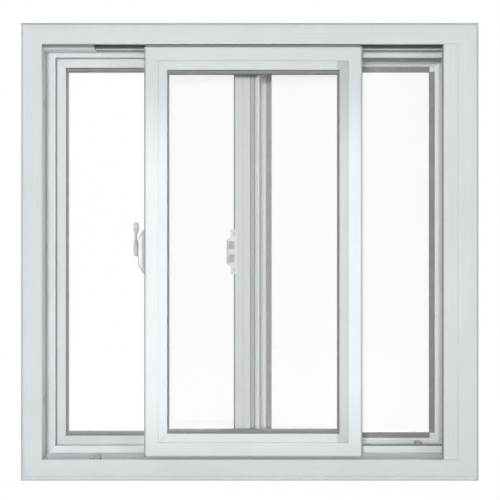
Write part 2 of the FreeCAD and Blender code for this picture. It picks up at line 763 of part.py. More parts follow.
def build_keeper():
    """Keeper plate on the meeting stile of the outer sash, with a catch that the cam turns behind."""
    body = new_body("Keeper")
    face = new_sketch(body, "XZ_Plane", "Plate")
    shoulder = "(catch_length / 2 + catch_slope)"
    draw_outline(face, [
        ("keeper_seat", "-keeper_length / 2"),
        ("keeper_seat", "keeper_length / 2"),
        ("-keeper_side", "keeper_length / 2"),
        ("-keeper_side", shoulder),
        ("-catch_reach", "catch_length / 2"),
        ("-catch_reach", "-catch_length / 2"),
        ("-keeper_side", f"-{shoulder}"),
        ("-keeper_side", "-keeper_length / 2"),
    ])
    pad(body, face, "keeper_plate", way="Forward")
    lip = new_sketch(body, "XZ_Plane", "Lip")
    draw_outline(lip, rectangle("-catch_reach", "-catch_length / 2",
                                "catch_lip - catch_reach", "catch_length / 2"))
    lip_front = "(keeper_plate + catch_depth)"
    pad(body, lip, lip_front, "LipPad", way="Forward")
    round_edges(body, [("-catch_reach", f"-{lip_front}"), ("catch_lip - catch_reach", f"-{lip_front}")],
                "catch_round", axes="XY")
    place(body, f"outer_reach - {SASH_FACE}", f"{FACE_Y} + {OUTER_FRONT}", "frame_height / 2")
    node(body, "lock_keeper")


def build_interlock():
    """Hooked strip along the free edge of the meeting stile."""
    body = new_body("Interlock")
    section = new_sketch(body, "XY_Plane", "Section")
    hook_back = "(interlock_wall - interlock_depth)"
    draw_outline(section, [
        ("0", "interlock_seat"),
        ("0", hook_back),
        ("-interlock_hook", hook_back),
        ("-interlock_hook", "-interlock_depth"),
        ("interlock_leg", "-interlock_depth"),
        ("interlock_leg", "interlock_seat"),
    ])
    pad(body, section, f"{OUTER_HEIGHT} - 2 * {SASH_FACE}")
    round_edges(body, [("-interlock_hook", "-interlock_depth"), ("interlock_leg", "-interlock_depth")],
                "interlock_round", axes="XY")
    place(body, "outer_reach", f"{FACE_Y} + {OUTER_FRONT}", f"{OUTER_BOTTOM} + {OUTER_HEIGHT} / 2")
    node(body, "outer_sash_interlock")


def write_parts():
    """Check every object, then write each sub-part to its own file."""
    doc.recompute()
    for item in doc.Objects:
        if {"Invalid", "Error"} & set(item.State):
            raise RuntimeError(f"{item.Label} failed: {item.State}")
    for item in nodes:
        if item.Shape.isNull() or not item.Shape.isValid():
            raise RuntimeError(f"{item.Label} has no valid shape")
    os.makedirs("parts", exist_ok=True)
    for item in nodes:
        item.Shape.exportStep(f"parts/{item.Label}.step")


build_frame()
build_pocket_cover()
build_tracks()
build_stop("FrontStop", "front_track_stop", "face_width + front_stop_inset - frame_width / 2",
           INNER_FRONT, FRONT_FLOOR, "front_stop_height")
build_stop("RearStop", "rear_track_stop", "frame_width / 2 - face_width - rear_stop_inset",
           OUTER_FRONT, REAR_FLOOR, "rear_stop_height")
build_screen()
build_weep_covers()
build_sash("inner_sash", {"bottom": "bottom_rail", "top": "top_rail", "left": "lock_stile",
                          "right": "pull_stile"},
           INNER_WIDTH, INNER_HEIGHT, INNER_MIDDLE, INNER_FRONT, INNER_BOTTOM)
build_sash("outer_sash", {"bottom": "bottom_rail", "top": "top_rail", "left": "jamb_stile",
                          "right": "meeting_stile"},
           OUTER_WIDTH, OUTER_HEIGHT, OUTER_MIDDLE, OUTER_FRONT, OUTER_BOTTOM)
build_lock()
build_keeper()
build_interlock()
write_parts()
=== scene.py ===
"""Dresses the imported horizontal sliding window: finishes, small fittings, studio and camera."""

from __future__ import annotations

import logging
import math
import random
from collections.abc import Iterable, Iterator
from dataclasses import dataclass
from enum import Enum

import bmesh
import bpy
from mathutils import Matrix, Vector


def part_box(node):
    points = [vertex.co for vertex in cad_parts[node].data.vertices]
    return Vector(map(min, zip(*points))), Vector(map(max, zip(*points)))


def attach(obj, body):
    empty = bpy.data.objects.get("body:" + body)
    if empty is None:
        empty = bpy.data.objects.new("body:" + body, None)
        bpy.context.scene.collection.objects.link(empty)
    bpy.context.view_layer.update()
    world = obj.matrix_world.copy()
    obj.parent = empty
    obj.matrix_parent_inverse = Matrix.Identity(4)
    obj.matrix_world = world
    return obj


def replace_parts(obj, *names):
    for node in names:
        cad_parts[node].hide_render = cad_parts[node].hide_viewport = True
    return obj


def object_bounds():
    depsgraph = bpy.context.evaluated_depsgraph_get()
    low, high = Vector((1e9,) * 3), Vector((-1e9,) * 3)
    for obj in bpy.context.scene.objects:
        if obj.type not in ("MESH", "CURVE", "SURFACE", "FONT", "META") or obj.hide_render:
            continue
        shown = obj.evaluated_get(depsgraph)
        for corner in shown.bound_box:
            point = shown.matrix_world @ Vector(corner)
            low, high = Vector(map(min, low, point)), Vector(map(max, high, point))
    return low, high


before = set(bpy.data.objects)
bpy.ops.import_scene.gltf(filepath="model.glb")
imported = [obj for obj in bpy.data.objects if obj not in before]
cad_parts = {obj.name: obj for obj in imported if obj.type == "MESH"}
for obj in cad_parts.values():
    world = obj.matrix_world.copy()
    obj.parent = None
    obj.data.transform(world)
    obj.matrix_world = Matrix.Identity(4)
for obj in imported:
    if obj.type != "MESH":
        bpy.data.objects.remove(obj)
CAD_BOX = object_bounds()

LOG = logging.getLogger("sliding_window")
MM = 0.001
SHARP = math.radians(38.0)
ROUND_STEPS = 3
NOISE_ROUGHNESS = 0.55
WHITE = (1.0, 1.0, 1.0, 1.0)

Pair = tuple[float, float]
Colour = tuple[float, float, float]
Point = tuple[float, float, float]
Box = tuple[Vector, Vector]
Socket = bpy.types.NodeSocket
Material = bpy.types.Material
Piece = bpy.types.Object
Mesh = bmesh.types.BMesh
Vertex = bmesh.types.BMVert


class Run(Enum):
    """Direction in which a member was extruded, as the stretch of its die lines."""

    ACROSS = (0.012, 1.0, 1.0)
    UPRIGHT = (1.0, 1.0, 0.012)
    NONE = (1.0, 1.0, 1.0)


class Body(str, Enum):
    """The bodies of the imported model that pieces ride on."""

    FRAME = "frame"
    INNER = "inner_sash"
    OUTER = "outer_sash"
    LEVER = "lock_lever"


class Board:
    """Node board of one material: adds shader nodes and joins them."""

    def __init__(self, name: str) -> None:
        """Start an empty board for a new material.

        Args:
            name: Name of the material.
        """
        self.material = bpy.data.materials.new(name)
        self.material.use_nodes = True
        self.tree = self.material.node_tree
        self.tree.nodes.clear()

    def add(
        self, kind: str, inputs: dict[str | int, object] | None = None, **settings: object
    ) -> bpy.types.Node:
        """Add a node.

        Args:
            kind: Blender's name of the node type.
            inputs: Socket values by name or place; a socket is linked, anything else is set.
            settings: Attributes of the node.

        Returns:
            The new node.
        """
        node = self.tree.nodes.new(kind)
        for key, value in settings.items():
            setattr(node, key, value)
        for key, value in (inputs or {}).items():
            self.plug(node.inputs[key], value)
        return node

    def plug(self, socket: Socket, value: object) -> None:
        """Link a socket to another, or set its plain value.

        Args:
            socket: The input to fill.
            value: A socket to link to, or a plain value.
        """
        if isinstance(value, Socket):
            self.tree.links.new(value, socket)
        else:
            socket.default_value = value

    def place(self, stretch: Point = Run.NONE.value) -> Socket:
        """Return the piece's own coordinates in metres, stretched per axis."""
        where = self.add("ShaderNodeTexCoord").outputs["Object"]
        return self.add("ShaderNodeVectorMath", {0: where, 1: stretch}, operation="MULTIPLY").outputs[0]

    def noise(self, where: Socket, per_metre: float, detail: float = 2.0) -> Socket:
        """Return a noise of so many grains to the metre."""
        values = {"Vector": where, "Scale": per_metre, "Detail": detail, "Roughness": NOISE_ROUGHNESS}
        return self.add("ShaderNodeTexNoise", values).outputs["Fac"]

    def ramp(
        self, value: Socket, low: float, high: float, start: float = 0.3, end: float = 0.7
    ) -> Socket:
        """Map a value between start and end to low and high, held at both ends."""
        span = {"Value": value, "From Min": start, "From Max": end, "To Min": low, "To Max": high}
        return self.add("ShaderNodeMapRange", span, clamp=True).outputs["Result"]

    def calc(self, first: object, second: object, operation: str = "ADD") -> Socket:
        """Return two values joined by a Math operation."""
        return self.add("ShaderNodeMath", {0: first, 1: second}, operation=operation).outputs[0]

    def mean(self, first: Socket, second: Socket) -> Socket:
        """Return the mean of two values."""
        return self.calc(self.calc(first, second), 0.5, "MULTIPLY")

    def tint(self, share: Socket, first: Colour, second: Colour) -> Socket:
        """Return a colour that goes from the first to the second by a share."""
        values = {0: share, 6: (*first, 1.0), 7: (*second, 1.0)}
        return self.add("ShaderNodeMix", values, data_type="RGBA").outputs[2]

    def scaled(self, colour: Socket, factor: Socket) -> Socket:
        """Return a colour made lighter or darker by a factor."""
        return self.add("ShaderNodeVectorMath", {0: colour, 1: factor}, operation="MULTIPLY").outputs[0]

    def bump(self, height: Socket, depth: float, strength: float = 0.5) -> Socket:
        """Return a normal bumped by a height of so many metres."""
        values = {"Height": height, "Distance": depth, "Strength": strength}
        return self.add("ShaderNodeBump", values).outputs["Normal"]

    def finish(self, surface: Socket) -> Material:
        """Give the surface to the output and return the material."""
        self.add("ShaderNodeOutputMaterial", {"Surface": surface})
        return self.material

    def solid(self, values: dict[str, object]) -> Material:
        """Finish the board with one Principled surface and return the material."""
        return self.finish(self.add("ShaderNodeBsdfPrincipled", values).outputs["BSDF"])


class WorldBoard(Board):
    """Node board of the world."""

    def __init__(self, world: bpy.types.World) -> None:
        """Start an empty board for a world.

        Args:
            world: The world that it belongs to.
        """
        world.use_nodes = True
        self.tree = world.node_tree
        self.tree.nodes.clear()


def shade(colour: Colour, factor: float) -> Colour:
    """Return a colour made lighter or darker by a factor."""
    return tuple(min(channel * factor, 1.0) for channel in colour)


@dataclass(frozen=True)
class Finish:
    """A surface finish, which makes its material on first use."""

    name: str
    colour: Colour

    def material(self) -> Material:
        """Return the finish's material."""
        return bpy.data.materials.get(self.name) or self.paint(Board(self.name))

    def paint(self, board: Board) -> Material:
        """Make the material on an empty board; each kind of finish has its own."""
        raise NotImplementedError

    def varied(self, board: Board, share: Socket, tones: Pair) -> Socket:
        """Return the colour, which goes from a darker to a lighter tone by a share."""
        return board.tint(share, *(shade(self.colour, tone) for tone in tones))


@dataclass(frozen=True)
class Vinyl(Finish):
    """Extruded vinyl: die lines along the member, faint clouds and a fine orange peel."""

    run: Run = Run.NONE
    roughness: Pair = (0.34, 0.46)
    line_grain: float = 420.0
    hair_grain: float = 1500.0
    cloud_grain: float = 11.0
    peel_grain: float = 1900.0
    tones: Pair = (0.965, 1.03)
    tone_span: Pair = (0.36, 0.64)
    hair_share: float = 0.6
    peel_share: float = 0.5
    relief: float = 0.04 * MM
    relief_strength: float = 0.35
    gloss: float = 0.45

    def paint(self, board: Board) -> Material:
        """Make the vinyl material.

        Args:
            board: Empty node board.

        Returns:
            The material.
        """
        along = board.place(self.run.value)
        plain = board.place()
        die_lines = board.noise(along, self.line_grain)
        hair_lines = board.noise(along, self.hair_grain, 1.0)
        clouds = board.noise(plain, self.cloud_grain, 3.0)
        peel = board.noise(plain, self.peel_grain, 1.0)
        share = board.ramp(board.mean(die_lines, clouds), 0.0, 1.0, *self.tone_span)
        colour = self.with_painted_light(board, plain, self.varied(board, share, self.tones))
        hairs = board.calc(hair_lines, self.hair_share, "MULTIPLY")
        height = board.calc(hairs, board.calc(peel, self.peel_share, "MULTIPLY"))
        return board.solid(
            {
                "Base Color": colour,
                "Roughness": board.ramp(die_lines, *self.roughness),
                "Normal": board.bump(height, self.relief, self.relief_strength),
                "Specular IOR Level": self.gloss,
            }
        )

    def with_painted_light(self, board: Board, where: Socket, colour: Socket) -> Socket:
        """Return the colour, unchanged on plain members; kinds of vinyl with painted light or shade have
        their own.
        """
        return colour


@dataclass(frozen=True)
class SashShadeVinyl(Vinyl):
    """Vinyl of the sash with painted light: a painted highlight at mid height on the room side, and
    painted shade along its outer edges and towards its right end.
    """

    # painted highlight: the room side is made lighter at mid height
    painted_highlight: float = 1.285
    lift_reach: Pair = (0.35, 0.18)
    lift_height: float = 0.335
    lift_depth: Pair = (10.0 * MM, 24.0 * MM)
    # painted shade along the sash's outer left and right edges
    edge_shade_factor: float = 0.6
    edge_reach: Pair = (2.3 * MM, 4.1 * MM)
    edge_depth: Pair = (10.0 * MM, 12.0 * MM)
    # painted shade towards the right end of a run
    right_shade: float = 1.0
    right_start: Pair = (45.0 * MM, 41.0 * MM)

    def with_painted_light(self, board: Board, where: Socket, colour: Socket) -> Socket:
        """Return the colour with a painted highlight at mid height and painted shade along the outer edges
        and towards the right end.

        Args:
            board: The material's board.
            where: The piece's own coordinates.
            colour: The plain colour.

        Returns:
            The colour with its painted highlight and shade.
        """
        axes = board.add("ShaderNodeSeparateXYZ", {0: where}).outputs
        # painted highlight, strongest at mid height
        away = board.calc(board.calc(axes["Z"], self.lift_height, "SUBTRACT"), 0.0, "ABSOLUTE")
        room_side = board.ramp(
            axes["Y"], self.painted_highlight, 1.0, *(CAD_BOX[0][1] + depth for depth in self.lift_depth)
        )
        span = {"Value": away, "From Min": self.lift_reach[0], "From Max": self.lift_reach[1]}
        span.update({"To Min": 1.0, "To Max": room_side})
        lift = board.add("ShaderNodeMapRange", span, interpolation_type="SMOOTHSTEP").outputs["Result"]
        low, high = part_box("inner_sash_bottom_rail")[0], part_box("inner_sash_top_rail")[1]
        from_left = board.calc(axes["X"], low.x, "SUBTRACT")
        from_right = board.calc(high.x, axes["X"], "SUBTRACT")
        edge = board.ramp(
            board.calc(from_left, from_right, "MINIMUM"), self.edge_shade_factor, 1.0, *self.edge_reach
        )
        behind = board.ramp(axes["Y"], 0.0, 1.0, *(CAD_BOX[0][1] + depth for depth in self.edge_depth))
        # painted shade on the outer edges of the room side
        edge_shade = board.calc(edge, behind, "MAXIMUM")
        # painted shade towards the right end
        right_darkening = board.ramp(axes["X"], 1.0, self.right_shade, *(high.x - start for start in self.right_start))
        return board.scaled(colour, board.calc(board.calc(lift, edge_shade, "MULTIPLY"), right_darkening, "MULTIPLY"))


@dataclass(frozen=True)
class EdgedVinyl(Vinyl):
    """Vinyl of the frame: painted shade on its outer room-side edges, painted light inside its channels.
    """

    # painted shade on the frame's outer top and side edges
    top_edge_shade: float = 0.64
    side_edge_shade: float = 0.68
    edge_shade_reach: Pair = (5.6 * MM, 3.0 * MM)
    # painted light inside the channels behind the front face
    channel_light: float = 1.0
    channel_depth: float = 5.0 * MM
    channel_fade: float = 1.0 * MM

    def with_painted_light(self, board: Board, where: Socket, colour: Socket) -> Socket:
        """Return the colour with painted shade on its outer edges and painted light in its channels.

        Args:
            board: The material's board.
            where: The piece's own coordinates.
            colour: The plain colour.

        Returns:
            The colour with its painted shade and light.
        """
        axes = board.add("ShaderNodeSeparateXYZ", {0: where}).outputs
        low, high = CAD_BOX
        side = board.calc(axes["X"], 0.0, "ABSOLUTE")
        channel_start = low[1] + self.channel_depth
        inside = board.ramp(axes["Y"], 0.0, 1.0, channel_start, channel_start + self.channel_fade)
        tops, sides = ([edge - reach for reach in self.edge_shade_reach] for edge in (high[2], high[0]))
        top_edge = board.ramp(axes["Z"], 1.0, self.top_edge_shade, *tops)
        side_edge = board.ramp(side, 1.0, self.side_edge_shade, *sides)
        # painted shade on the outer edges, none inside the channels
        painted_shade = board.calc(board.calc(top_edge, side_edge, "MINIMUM"), inside, "MAXIMUM")
        # painted light inside the channels
        lift = board.ramp(inside, 1.0, self.channel_light, 0.0, 1.0)
        return board.scaled(colour, board.calc(painted_shade, lift, "MULTIPLY"))


@dataclass(frozen=True)
class TrackShadeVinyl(Vinyl):
    """Vinyl up in the head track: painted shade on its upper part, pale along its lower edge."""

    # painted shade on the upper part, up under the head
    painted_shade: float = 0.3
    shade_drop: Pair = (40.6 * MM, 38.5 * MM)

    def with_painted_light(self, board: Board, where: Socket, colour: Socket) -> Socket:
        """Return the colour with painted shade on its upper part.

        Args:
            board: The material's board.
            where: The piece's own coordinates.
            colour: The plain colour.

        Returns:
            The colour with its painted shade.
        """
        height = board.add("ShaderNodeSeparateXYZ", {0: where}).outputs["Z"]
        span = (CAD_BOX[1][2] - drop for drop in self.shade_drop)
        # painted shade, darker towards the top
        return board.scaled(colour, board.ramp(height, 1.0, self.painted_shade, *span))


@dataclass(frozen=True)
class Enamel(Finish):
    """Baked enamel on a casting: glossy, with the casting's soft ripple under it."""

    ripple_grain: float = 260.0
    speck_grain: float = 3000.0
    tones: Pair = (0.94, 1.03)
    roughness: Pair = (0.22, 0.36)
    speck_share: float = 0.3
    relief: float = 0.06 * MM
    relief_strength: float = 0.4
    coat: float = 0.35
    coat_roughness: float = 0.12

    def paint(self, board: Board) -> Material:
        """Make the enamel material.

        Args:
            board: Empty node board.

        Returns:
            The material.
        """
        plain = board.place()
        ripple = board.noise(plain, self.ripple_grain)
        speck = board.noise(plain, self.speck_grain, 1.0)
        colour = self.varied(board, board.ramp(ripple, 0.0, 1.0), self.tones)
        height = board.calc(ripple, board.calc(speck, self.speck_share, "MULTIPLY"))
        return board.solid(
            {
                "Base Color": colour,
                "Roughness": board.ramp(speck, *self.roughness),
                "Normal": board.bump(height, self.relief, self.relief_strength),
                "Coat Weight": self.coat,
                "Coat Roughness": self.coat_roughness,
            }
        )


@dataclass(frozen=True)
class Glass(Finish):
    """Float glass: clear, with a faint roller wave, and open to lamp light."""

    wave_stretch: Point = (1.0, 1.0, 0.3)
    wave_grain: float = 14.0
    tones: Pair = (0.998, 1.002)
    refraction: float = 1.45
    relief: float = 0.02 * MM
    relief_strength: float = 0.1

    def paint(self, board: Board) -> Material:
        """Make the glass material.

        Args:
            board: Empty node board.

        Returns:
            The material.
        """
        wave = board.noise(board.place(self.wave_stretch), self.wave_grain, 1.0)
        pane = board.add(
            "ShaderNodeBsdfPrincipled",
            {
                "Base Color": self.varied(board, wave, self.tones),
                "Roughness": 0.0,
                "Transmission Weight": 1.0,
                "IOR": self.refraction,
                "Normal": board.bump(wave, self.relief, self.relief_strength),
            },
        )
        clear = board.add("ShaderNodeBsdfTransparent", {"Color": (*self.colour, 1.0)})
        lamp = board.add("ShaderNodeLightPath").outputs["Is Shadow Ray"]
        both = {0: lamp, 1: pane.outputs["BSDF"], 2: clear.outputs["BSDF"]}
        return board.finish(board.add("ShaderNodeMixShader", both).outputs["Shader"])


@dataclass(frozen=True)
class Fibre(Finish):
    """Coated glass fibre, pile or nylon: a fine grain over a slow drift of tone."""

    roughness: Pair = (0.4, 0.6)
    fine_grain: float = 900.0
    drift_grain: float = 24.0
    tones: Pair = (0.9, 1.08)
    relief: float = 0.03 * MM
    relief_strength: float = 0.3
    gloss: float = 0.5

    def paint(self, board: Board) -> Material:
        """Make the grained material.

        Args:
            board: Empty node board.

        Returns:
            The material.
        """
        plain = board.place()
        grain = board.noise(plain, self.fine_grain)
        drift = board.noise(plain, self.drift_grain)
        share = board.ramp(board.mean(grain, drift), 0.0, 1.0)
        return board.solid(
            {
                "Base Color": self.varied(board, share, self.tones),
                "Roughness": board.ramp(grain, *self.roughness),
                "Normal": board.bump(grain, self.relief, self.relief_strength),
                "Specular IOR Level": self.gloss,
            }
        )


@dataclass(frozen=True)
class Rubber(Fibre):
    """Soft dull rubber or foam: the same build-up as fibre, with a coarse pore."""

    roughness: Pair = (0.7, 0.88)
    fine_grain: float = 1400.0
    drift_grain: float = 60.0
    tones: Pair = (0.82, 1.16)
    relief: float = 0.12 * MM
    relief_strength: float = 0.5
    gloss: float = 0.3


FRAME_WHITE: Colour = (0.685, 0.715, 0.73)
SASH_WHITE: Colour = (0.67, 0.706, 0.722)
# frame vinyl with painted shade on its outer edges; the sill's copy also has painted light in its channels
FRAME_ACROSS = EdgedVinyl("frame_vinyl_across", FRAME_WHITE, Run.ACROSS)
FRAME_SILL = EdgedVinyl("frame_vinyl_sill", FRAME_WHITE, Run.ACROSS, channel_light=1.2)
FRAME_UPRIGHT = EdgedVinyl("frame_vinyl_upright", FRAME_WHITE, Run.UPRIGHT)
# sash vinyl with a painted highlight at mid height and painted shade on its outer edges
SASH_STILE = SashShadeVinyl("sash_vinyl_stile", SASH_WHITE, Run.UPRIGHT)
SASH_RAIL = SashShadeVinyl("sash_vinyl_rail", SASH_WHITE, Run.ACROSS)
# the bead's right run gets painted shade
SASH_BEAD = SashShadeVinyl("sash_vinyl_bead", SASH_WHITE, Run.NONE, right_shade=0.78)
OUTER_STILE = Vinyl("outer_vinyl_stile", FRAME_WHITE, Run.UPRIGHT)
OUTER_RAIL = Vinyl("outer_vinyl_rail", FRAME_WHITE, Run.ACROSS)
LOCK_WHITE = Enamel("lock_enamel_white", (0.79, 0.81, 0.82))
# painted shade: the case is a darkened copy of the white enamel
CASE_SHADED = Enamel("lock_case_shaded_enamel", (0.54, 0.555, 0.57))
PANEL_WHITE = Enamel("lock_panel_enamel", (0.88, 0.9, 0.91))
# painted shade: the lever is a darkened copy of the white enamel
LEVER_SHADED = Enamel("lock_lever_shaded_enamel", (0.63, 0.645, 0.655))
# lit and shaded copies of one screen enamel: painted light on the right and bottom bars, painted shade on
# the top and left bars
SCREEN_LIT = Enamel("screen_bar_lit_enamel", (0.87, 0.9, 0.915))
SCREEN_SHADED = Enamel("screen_bar_shaded_enamel", (0.69, 0.71, 0.725))
SPACER_GREY = Rubber("edge_spacer_foam", (0.285, 0.271, 0.273), fine_grain=900.0)
SPLINE_GREY = Rubber("screen_spline_rubber", (0.32, 0.308, 0.31))
CLEAR_GLASS = Glass("clear_float_glass", (0.998, 1.0, 0.999))
MESH_SILVER = Fibre("screen_mesh_fibre", (0.86, 0.87, 0.88))
NYLON = Fibre("roller_nylon_plain", (0.72, 0.72, 0.7))
KEY_WHITE = Fibre("corner_key_nylon", (0.82, 0.83, 0.84))
PILE_GREY = Fibre("weatherstrip_pile", (0.5, 0.505, 0.51), (0.8, 0.95))
# dark pile put where gaps are in shade: painted shade
PILE_SHADE = Fibre("shade_line_pile", (0.27, 0.275, 0.28), (0.8, 0.95))
TRACK_ALLOY = Vinyl("track_alloy_grey", (0.49, 0.5, 0.505), Run.ACROSS, (0.28, 0.4))
# painted shade on the upper part of the guide and of the filler
GUIDE_GREY = TrackShadeVinyl("head_guide_grey", (0.52, 0.53, 0.535), Run.ACROSS, painted_shade=0.16)
FILLER_GREY = TrackShadeVinyl("track_filler_vinyl", (0.78, 0.8, 0.81), Run.ACROSS, painted_shade=0.32)
STOP_GREY = Rubber("track_stop_rubber", (0.4, 0.4, 0.4))
# grey pads that stand for the shade in the keeper's pocket: painted shade
KEEPER_SHADE_GREY = Rubber("keeper_shade_rubber", (0.5, 0.49, 0.51))
SCREW_STEEL = Enamel("screw_zinc_white", (0.66, 0.67, 0.68))


def dress(finish: Finish, names: Iterable[str]) -> None:
    """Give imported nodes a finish.

    Args:
        finish: The finish to use.
        names: Node names.
    """
    for name in names:
        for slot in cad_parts[name].material_slots:
            slot.material = finish.material()
        LOG.info("dressed %s in %s", name, finish.name)


def skin(made: Mesh, rows: list[list[Vertex]]) -> None:
    """Join each ring of vertices to the next by quads.

    Args:
        made: Mesh to add to.
        rows: The rings' vertices, in order.
    """
    for first, second in zip(rows, rows[1:]):
        for index, vert in enumerate(first):
            after = (index + 1) % len(first)
            made.faces.new((vert, first[after], second[after], second[index]))


def tube(made: Mesh, rings: Iterable[Iterable[Vector]]) -> None:
    """Skin a row of rings of equal length and close both ends.

    Args:
        made: Mesh to add to.
        rings: The rings, from one end to the other.
    """
    rows = [[made.verts.new(point) for point in ring] for ring in rings]
    skin(made, rows)
    made.faces.new(reversed(rows[0]))
    made.faces.new(rows[-1])


def hoop(made: Mesh, rings: Iterable[Iterable[Vector]]) -> None:
    """Skin a row of rings of equal length and join the last to the first.

    Args:
        made: Mesh to add to.
        rings: The rings, once round.
    """
    rows = [[made.verts.new(point) for point in ring] for ring in rings]
    skin(made, rows + rows[:1])


def block(made: Mesh, low: Point, high: Point) -> None:
    """Add a closed box between two corners.

    Args:
        made: Mesh to add to.
        low: Lowest corner.
        high: Highest corner.
    """
    base = [(low[0], low[1]), (high[0], low[1]), (high[0], high[1]), (low[0], high[1])]
    tube(made, [[Vector((x, y, z)) for x, y in base] for z in (low[2], high[2])])


def soften(made: Mesh, radius: float) -> None:
    """Round every edge of a mesh of plain blocks."""
    edges = made.edges[:]
    bmesh.ops.bevel(made, geom=edges, offset=radius, segments=ROUND_STEPS, profile=0.5, affect="EDGES")


def mesh_piece(name: str, made: Mesh, finish: Finish, body: Body) -> Piece:
    """Turn a finished bmesh into a piece that rides on a body.

    Args:
        name: Name of the piece.
        made: The mesh, which is freed.
        finish: Its finish.
        body: The body that it rides on.

    Returns:
        The new piece.
    """
    bmesh.ops.recalc_face_normals(made, faces=made.faces[:])
    mesh = bpy.data.meshes.new(name)
    made.to_mesh(mesh)
    made.free()
    mesh.polygons.foreach_set("use_smooth", [True] * len(mesh.polygons))
    mesh.set_sharp_from_angle(angle=SHARP)
    mesh.materials.append(finish.material())
    piece = bpy.data.objects.new(name, mesh)
    bpy.context.scene.collection.objects.link(piece)
    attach(piece, body.value)
    LOG.info("built %s: %d faces", name, len(mesh.polygons))
    return piece


def corners(low: Vector, high: Vector, inset: float, depth: float) -> Iterator[Vector]:
    """Yield the four corners of an upright rectangle.

    Args:
        low: Lowest corner of the box that it lies in.
        high: Highest corner of that box.
        inset: How far each corner is drawn in.
        depth: Place of the rectangle along the depth.

    Yields:
        Each corner in turn.
    """
    for x, inward in ((low.x, inset), (high.x, -inset)):
        for z, upward in ((low.z, inset), (high.z, -inset)):
            yield Vector((x + inward, depth, z + upward))


@dataclass(frozen=True)
class WeldSeam:
    """Low ridge that is left where two mitred vinyl members were welded and trimmed."""

    width: float = 2.2 * MM
    rise: float = 0.16 * MM
    sunk: float = 0.3 * MM
    shoulder: float = 0.75

    def run(self, made: Mesh, first: Vector, last: Vector, out: Vector) -> None:
        """Add one ridge.

        Args:
            made: Mesh to add to.
            first: Start of the ridge on the surface.
            last: End of the ridge on the surface.
            out: Direction out of the surface.
        """
        side = (last - first).normalized().cross(out)
        half = self.width / 2
        edge = self.rise * self.shoulder
        section = [(-half, -self.sunk), (half, -self.sunk), (half, 0.0), (half / 2, edge)]
        section += [(0.0, self.rise), (-half / 2, edge), (-half, 0.0)]
        tube(made, [[end + side * across + out * up for across, up in section] for end in (first, last)])

    def trim(self, made: Mesh, box: Box, reach: Pair, out: float) -> None:
        """Add a ridge across each corner of a frame, on its room side or its weather side.

        Args:
            made: Mesh to add to.
            box: Lowest and highest corner of the frame.
            reach: Distance of the ridge's ends from the frame's outer edge.
            out: -1 for the room side, 1 for the weather side.
        """
        depth = box[0].y if out < 0.0 else box[1].y
        first, last = (corners(*box, inset, depth) for inset in reach)
        for begin, end in zip(first, last):
            self.run(made, begin, end, Vector((0.0, out, 0.0)))


@dataclass(frozen=True)
class PileStrip:
    """Pile weatherstrip: a woven back with uneven rows of tufts."""

    width: float = 6.4 * MM
    rise: float = 3.0 * MM
    step: float = 1.5 * MM
    uneven: float = 0.3
    crown: tuple[float, ...] = (1.0, 0.5, 0.0, -0.5, -1.0)
    spread: Pair = (0.3, 0.06)
    back_rise: float = 0.2

    def lay(self, made: Mesh, first: Vector, last: Vector, out: Vector) -> None:
        """Add one strip.

        Args:
            made: Mesh to add to.
            first: Start of the strip on its seat.
            last: End of the strip on its seat.
            out: Direction in which the tufts stand.
        """
        dice = random.Random(round(first.x * 1000))
        along = last - first
        side = along.normalized().cross(out)
        count = int(along.length / self.step)
        half, back = self.width / 2, self.rise * self.back_rise
        least, extra = self.spread
        rings = []
        for index in range(count + 1):
            tufts = [self.rise * (1.0 - self.uneven * dice.random()) for _ in self.crown]
            spread = self.width * (least + extra * dice.random())
            section = [(-half, 0.0), (half, 0.0), (half, back)]
            section += [(spread * share, tuft) for share, tuft in zip(self.crown, tufts)]
            section.append((-half, back))
            spot = first + along * (index / count)
            rings.append([spot + side * across + out * up for across, up in section])
        tube(made, rings)


@dataclass(frozen=True)
class SpacerBar:
    """Spacer of a sealed unit: a mitred hoop with two rolled grooves in its inner face."""

    upright: float = 14.1 * MM
    across: float = 16.9 * MM
    clear: float = 0.03 * MM
    section: tuple[Pair, ...] = (
        (0.0, 0.0),
        (0.9, 0.0),
        (1.0, 0.12),
        (1.0, 0.26),
        (0.965, 0.31),
        (1.0, 0.36),
        (1.0, 0.64),
        (0.965, 0.69),
        (1.0, 0.74),
        (1.0, 0.88),
        (0.9, 1.0),
        (0.0, 1.0),
    )

    def bend(self, made: Mesh, low: Vector, high: Vector) -> None:
        """Add the hoop.

        Args:
            made: Mesh to add to.
            low: Lowest corner of the spacer's room.
            high: Highest corner of the spacer's room.
        """
        depth = high.y - low.y - 2 * self.clear
        bends = (
            (low.x, low.z, 1, 1),
            (high.x, low.z, -1, 1),
            (high.x, high.z, -1, -1),
            (low.x, high.z, 1, -1),
        )
        rings = []
        for x, z, right, up in bends:
            ring = []
            for share, back in self.section:
                y = low.y + self.clear + back * depth
                ring.append(Vector((x + right * share * self.upright, y, z + up * share * self.across)))
            rings.append(ring)
        hoop(made, rings)


